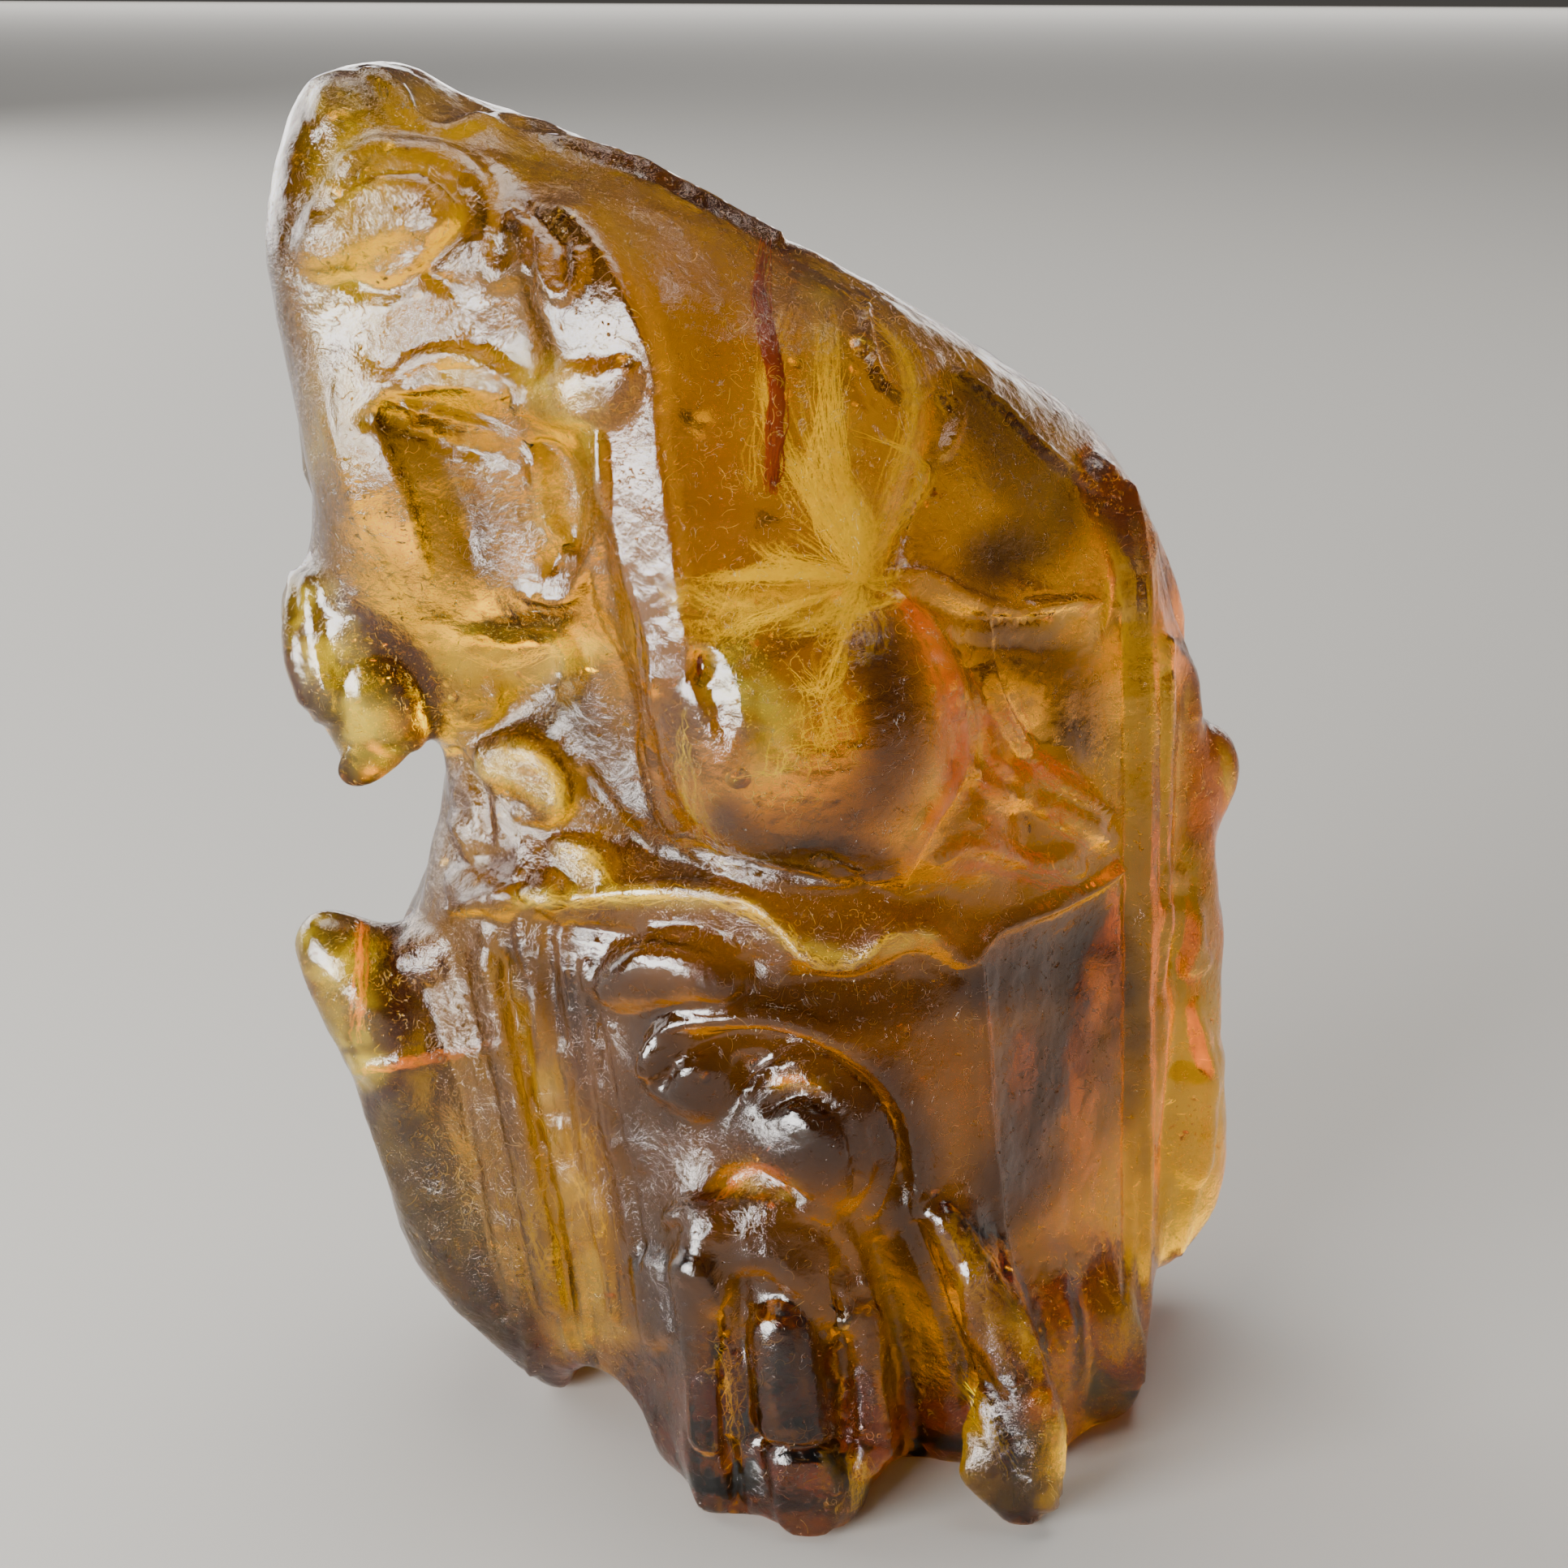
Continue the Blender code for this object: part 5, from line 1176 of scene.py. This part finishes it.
def flakes(skin):
    """Round flat flakes of trapped air, turned every way."""
    chance = random.Random(5)
    gold = new_finish("bright flake in resin", (1.0, 0.80, 0.36), 0.22, Metallic=0.9)
    made = bmesh.new()
    for u, v, reach, count, depth in FLAKE_PATCHES:
        for k in range(count):
            turn, far = chance.uniform(0, 6.3), reach * math.sqrt(chance.random())
            place = under_skin(skin, u + far * math.cos(turn), v + far * math.sin(turn),
                               depth * chance.uniform(0.35, 1.3))
            if place is None:
                continue
            wide = chance.uniform(0.10, 0.42) * MM
            set_to = (Matrix.Translation(place)
                      @ Matrix.Rotation(chance.uniform(0, 3.1), 4, "X")
                      @ Matrix.Rotation(chance.uniform(0, 3.1), 4, "Y")
                      @ Matrix.Diagonal((wide, wide * chance.uniform(0.4, 1), 0.03 * MM, 1)))
            bmesh.ops.create_icosphere(made, subdivisions=1, radius=1.0, matrix=set_to)
    sheet = bpy.data.meshes.new("flakes")
    made.to_mesh(sheet)
    made.free()
    obj = new_piece("bright_flakes", sheet, gold)
    return sealed(obj)


# Clouds of golden grains: the middle, the reach, how many, and how deep in millimetres.
GRAIN_CLOUDS = (
    (440, 160, 70, 400, 6.0), (470, 290, 80, 500, 4.0), (400, 400, 50, 200, 4.0),
    (700, 240, 60, 300, 5.0), (440, 800, 70, 260, 5.0), (470, 900, 44, 120, 4.0),
    (600, 810, 80, 400, 4.0), (700, 500, 50, 400, 2.4), (690, 630, 40, 300, 2.4),
    (640, 960, 50, 400, 2.6), (720, 1070, 40, 200, 2.0), (830, 1106, 90, 300, 1.6),
    (1060, 1180, 90, 200, 1.2), (420, 1220, 60, 160, 5.0), (500, 1170, 50, 160, 4.0),
    (560, 1500, 80, 160, 4.0), (720, 1560, 60, 200, 3.0), (745, 1650, 40, 200, 2.0),
    (930, 1452, 34, 400, 1.4), (982, 1336, 22, 240, 1.0), (1250, 1660, 50, 240, 4.0),
    (1330, 1700, 60, 300, 5.0), (1390, 1640, 40, 240, 4.0), (1460, 1420, 50, 240, 5.0),
    (1350, 600, 40, 120, 1.6), (1020, 600, 50, 700, 3.0), (1000, 430, 60, 400, 3.0),
    (900, 760, 60, 400, 2.4), (940, 860, 70, 300, 3.0), (1040, 1850, 40, 100, 2.0),
)
CORNERS = np.array(((1, 0, 0), (-1, 0, 0), (0, 1, 0), (0, -1, 0), (0, 0, 1), (0, 0, -1)), float)
SIDES = ((0, 2, 4), (2, 1, 4), (1, 3, 4), (3, 0, 4), (2, 0, 5), (1, 2, 5), (3, 1, 5), (0, 3, 5))


def grains(skin):
    """Clouds of tiny golden grains, each an eight-sided crumb, that make pale parts glow."""
    chance = random.Random(17)
    gold = new_finish("golden grain in resin", (1.0, 0.84, 0.34), 0.45,
                      Transmission_Weight=0.55, IOR=1.1)
    points, faces = [], []
    for u, v, reach, count, depth in GRAIN_CLOUDS:
        for k in range(count):
            at_u, at_v = u + chance.gauss(0, reach * 0.55), v + chance.gauss(0, reach * 0.55)
            place = under_skin(skin, at_u, at_v, 0.25 + depth * chance.random() ** 1.5)
            if place is None or hides_insect(at_u, at_v):
                continue
            wide = chance.uniform(0.02, 0.065) * MM
            turn = np.linalg.qr([[chance.gauss(0, 1) for a in range(3)] for b in range(3)])[0]
            crumb = CORNERS * (wide * chance.uniform(1, 3), wide, wide) @ turn
            faces += [[len(points) + corner for corner in side] for side in SIDES]
            points += (crumb + np.array(place)).tolist()
    sheet = bpy.data.meshes.new("golden_grains")
    sheet.from_pydata(points, [], faces)
    obj = new_piece("golden_grains", sheet, gold)
    bpy.ops.object.mode_set(mode="EDIT")
    bpy.ops.mesh.select_all(action="SELECT")
    bpy.ops.mesh.normals_make_consistent(inside=False)
    bpy.ops.object.mode_set(mode="OBJECT")
    return sealed(obj)


# Air bubbles: (u, v, depth, radius), the last two in millimetres.
BUBBLES = ((1060, 425, 1.2, 0.95), (982, 446, 1.6, 0.55), (1008, 405, 2.2, 0.4),
           (675, 1097, 1.0, 0.7), (910, 960, 1.0, 0.9), (1040, 742, 1.6, 1.1),
           (1190, 868, 1.2, 0.9), (770, 440, 1.0, 0.5), (930, 1310, 1.0, 0.5),
           (870, 1330, 1.0, 0.45), (560, 860, 1.2, 0.4), (500, 1560, 1.4, 0.5),
           (1150, 1470, 1.2, 0.5), (1120, 1270, 1.6, 0.35), (1090, 1190, 1.4, 0.4))


def bubbles(skin):
    """Clear, slightly flattened bubbles of air."""
    air = new_finish("air bubble", (1, 0.93, 0.8), 0.0, Transmission_Weight=1.0, IOR=0.66)
    for number, (u, v, depth, radius) in enumerate(BUBBLES):
        place = under_skin(skin, u, v, depth + radius)
        if place is None:
            continue
        bpy.ops.mesh.primitive_uv_sphere_add(segments=20, ring_count=12, radius=radius * MM)
        bubble = bpy.context.object
        bubble.name = "bubble_%d" % number
        for vert in bubble.data.vertices:
            vert.co.z *= 0.85
            vert.co = vert.co + place
        bubble.location = (0, 0, 0)
        bpy.ops.object.shade_smooth()
        bubble.data.materials.append(air)
        sealed(bubble)


# The insects.

# Body parts: place along, across and towards the viewer, and the three half sizes, in mm.
GNAT_PARTS = ((-0.62, 0.02, 0, 0.16, 0.15, 0.15), (-0.28, 0, 0.05, 0.26, 0.22, 0.22),
              (0.10, 0, 0, 0.24, 0.14, 0.14), (0.42, 0, -0.02, 0.24, 0.11, 0.11))
MIDGE_PARTS = ((-0.42, 0, 0, 0.09, 0.09, 0.09), (-0.22, 0, 0.03, 0.15, 0.12, 0.13),
               (0.06, 0, 0, 0.18, 0.08, 0.08), (0.34, 0, 0, 0.16, 0.06, 0.06))
ANT_PARTS = ((-0.52, 0, 0, 0.15, 0.13, 0.12), (-0.26, 0, 0, 0.15, 0.08, 0.09),
             (-0.04, 0, 0, 0.05, 0.05, 0.07), (0.10, 0, 0, 0.05, 0.05, 0.06),
             (0.36, 0, 0, 0.23, 0.15, 0.15))
# Wings: root, tip and half width; pale and spread to one side.
GNAT_WINGS = (((0.0, 0.14), (0.95, 0.62), 0.15), ((0.0, -0.14), (0.95, -0.40), 0.12),
              ((0.0, 0.12), (0.70, 0.90), 0.10))
MIDGE_WINGS = (((-0.2, 0.08), (0.45, 0.34), 0.10), ((-0.2, -0.08), (0.5, -0.26), 0.10))


def laid_at(place, turn):
    """Body along X, back towards the camera: the frame of an insect in its pocket."""
    t = math.radians(turn)
    along = ACROSS * math.cos(t) + UPWARD * math.sin(t)
    side = UPWARD * math.cos(t) - ACROSS * math.sin(t)
    frame_of = Matrix((along, side, -AHEAD)).transposed().to_4x4()
    frame_of.translation = place
    return frame_of


def insect(name, node_name, turn, parts, wings, leg_length, colours, size=1.0):
    """A small winged or wingless insect: jointed body, six bent legs, feelers, wings."""
    low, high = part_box(node_name)
    frame_of = laid_at((low + high) / 2, turn)
    dark = new_finish(name + " shell", colours[0], 0.4)
    tree, shader = dark.node_tree, dark.node_tree.nodes["Principled BSDF"]
    where = tree.nodes.new("ShaderNodeTexCoord").outputs["Object"]
    mottle = pattern(tree, "ShaderNodeTexNoise", where, Scale=9000.0, Detail=2.0)
    tree.links.new(tinted(tree, mottle.outputs["Fac"], colours[0], colours[1]),
                   shader.inputs["Base Color"])
    bumped(tree, shader, ((mottle.outputs["Fac"], 0.4, 0.00002),))
    made = bmesh.new()
    frame_of = frame_of @ Matrix.Scale(size, 4)
    for x, y, z, a, b, c in parts:
        half_sizes = Matrix.Diagonal((a * MM, b * MM, c * MM, 1))
        at = Matrix.Translation(Vector((x, y, z)) * MM)
        bmesh.ops.create_uvsphere(made, u_segments=14, v_segments=9, radius=1.0,
                                  matrix=frame_of @ at @ half_sizes)
    body = bpy.data.meshes.new(name)
    made.to_mesh(body)
    made.free()
    obj = new_piece(name, body, dark)
    bpy.ops.object.shade_smooth()
    sealed(obj, node_name)
    lines = []
    chest = parts[1]
    for side in (-1, 1):
        for k in range(3):
            root = Vector((chest[0] + 0.09 * (k - 1), side * chest[4] * 0.7, -0.03))
            knee = root + Vector((0.14 * (k - 1), side * 0.5, 0.16)) * leg_length
            ankle = knee + Vector((0.22 * (k - 1), side * 0.38, -0.22)) * leg_length
            toe = ankle + Vector((0.2 * (k - 1) + 0.04, side * 0.16, -0.04)) * leg_length
            lines.append([(frame_of @ (p * MM), r * MM) for p, r in
                          ((root, 0.022), (knee, 0.018), (ankle, 0.013), (toe, 0.008))])
        brow = Vector((parts[0][0] - parts[0][3] * 0.7, side * 0.04, 0.02))
        lines.append([(frame_of @ (p * MM), r * MM) for p, r in
                      ((brow, 0.014), (brow + Vector((-0.10, side * 0.10, 0.04)), 0.011),
                       (brow + Vector((-0.24, side * 0.16, 0.0)), 0.007))])
    legs = strands(name + "_legs", lines, dark)
    if wings:
        veil = new_finish(name + " wing", colours[2], 0.35)
        lines = []
        made = bmesh.new()
        for root, tip, half in wings:
            a, b = Vector((*root, 0.08)), Vector((*tip, 0.10))
            side = Vector((-(b - a).y, (b - a).x, 0)).normalized()
            edge = []
            for k in range(20):
                turn_by = k / 20 * 2 * math.pi
                t = 0.5 - 0.5 * math.cos(turn_by)
                wide = half * math.sin(turn_by) * (0.55 + 0.75 * t)
                edge.append(made.verts.new(frame_of @ ((a.lerp(b, t) + side * wide) * MM)))
            made.faces.new(edge)
        bmesh.ops.triangulate(made, faces=made.faces[:])
        sheet = bpy.data.meshes.new(name + "_wings")
        made.to_mesh(sheet)
        made.free()
        wing = new_piece(name + "_wings", sheet, veil)
        finished(wing, "SOLIDIFY", thickness=0.02 * MM, offset=0.0)
        sealed(wing)


photo_camera()
studio()
amber = whole_lump()
drawn_out(amber, skin_of(amber))
softened(amber)
bevelled(amber, skin_of(amber))
worked_skin(amber)
rippled(amber)
kept_in_box(amber)
only(amber)
bpy.ops.object.shade_smooth()
skin = skin_of(amber)
for node_name in INSECT_NODES:
    low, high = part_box(node_name)
    clear_views.append(seen_through(skin, (low + high) / 2))
tinted_by_place(amber)
amber.data.materials.append(clear_resin())
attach(amber, "root")
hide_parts("amber_lower", "amber_upper")
veins(skin)
yellow_wisps_painted_glow(skin)
flakes(skin)
grains(skin)
lint(skin)
bubbles(skin)
insect("gnat_in_amber", "gnat", -32, GNAT_PARTS, GNAT_WINGS, 1.0,
       ((0.006, 0.003, 0.002), (0.03, 0.012, 0.006), (0.86, 0.58, 0.28)), 1.4)
insect("midge_in_amber", "midge", 172, MIDGE_PARTS, MIDGE_WINGS, 0.8,
       ((0.006, 0.003, 0.002), (0.03, 0.012, 0.006), (0.10, 0.05, 0.02)), 1.6)
insect("ant_in_amber", "ant", -56, ANT_PARTS, (), 0.8,
       ((0.006, 0.003, 0.002), (0.04, 0.010, 0.005)), 1.6)
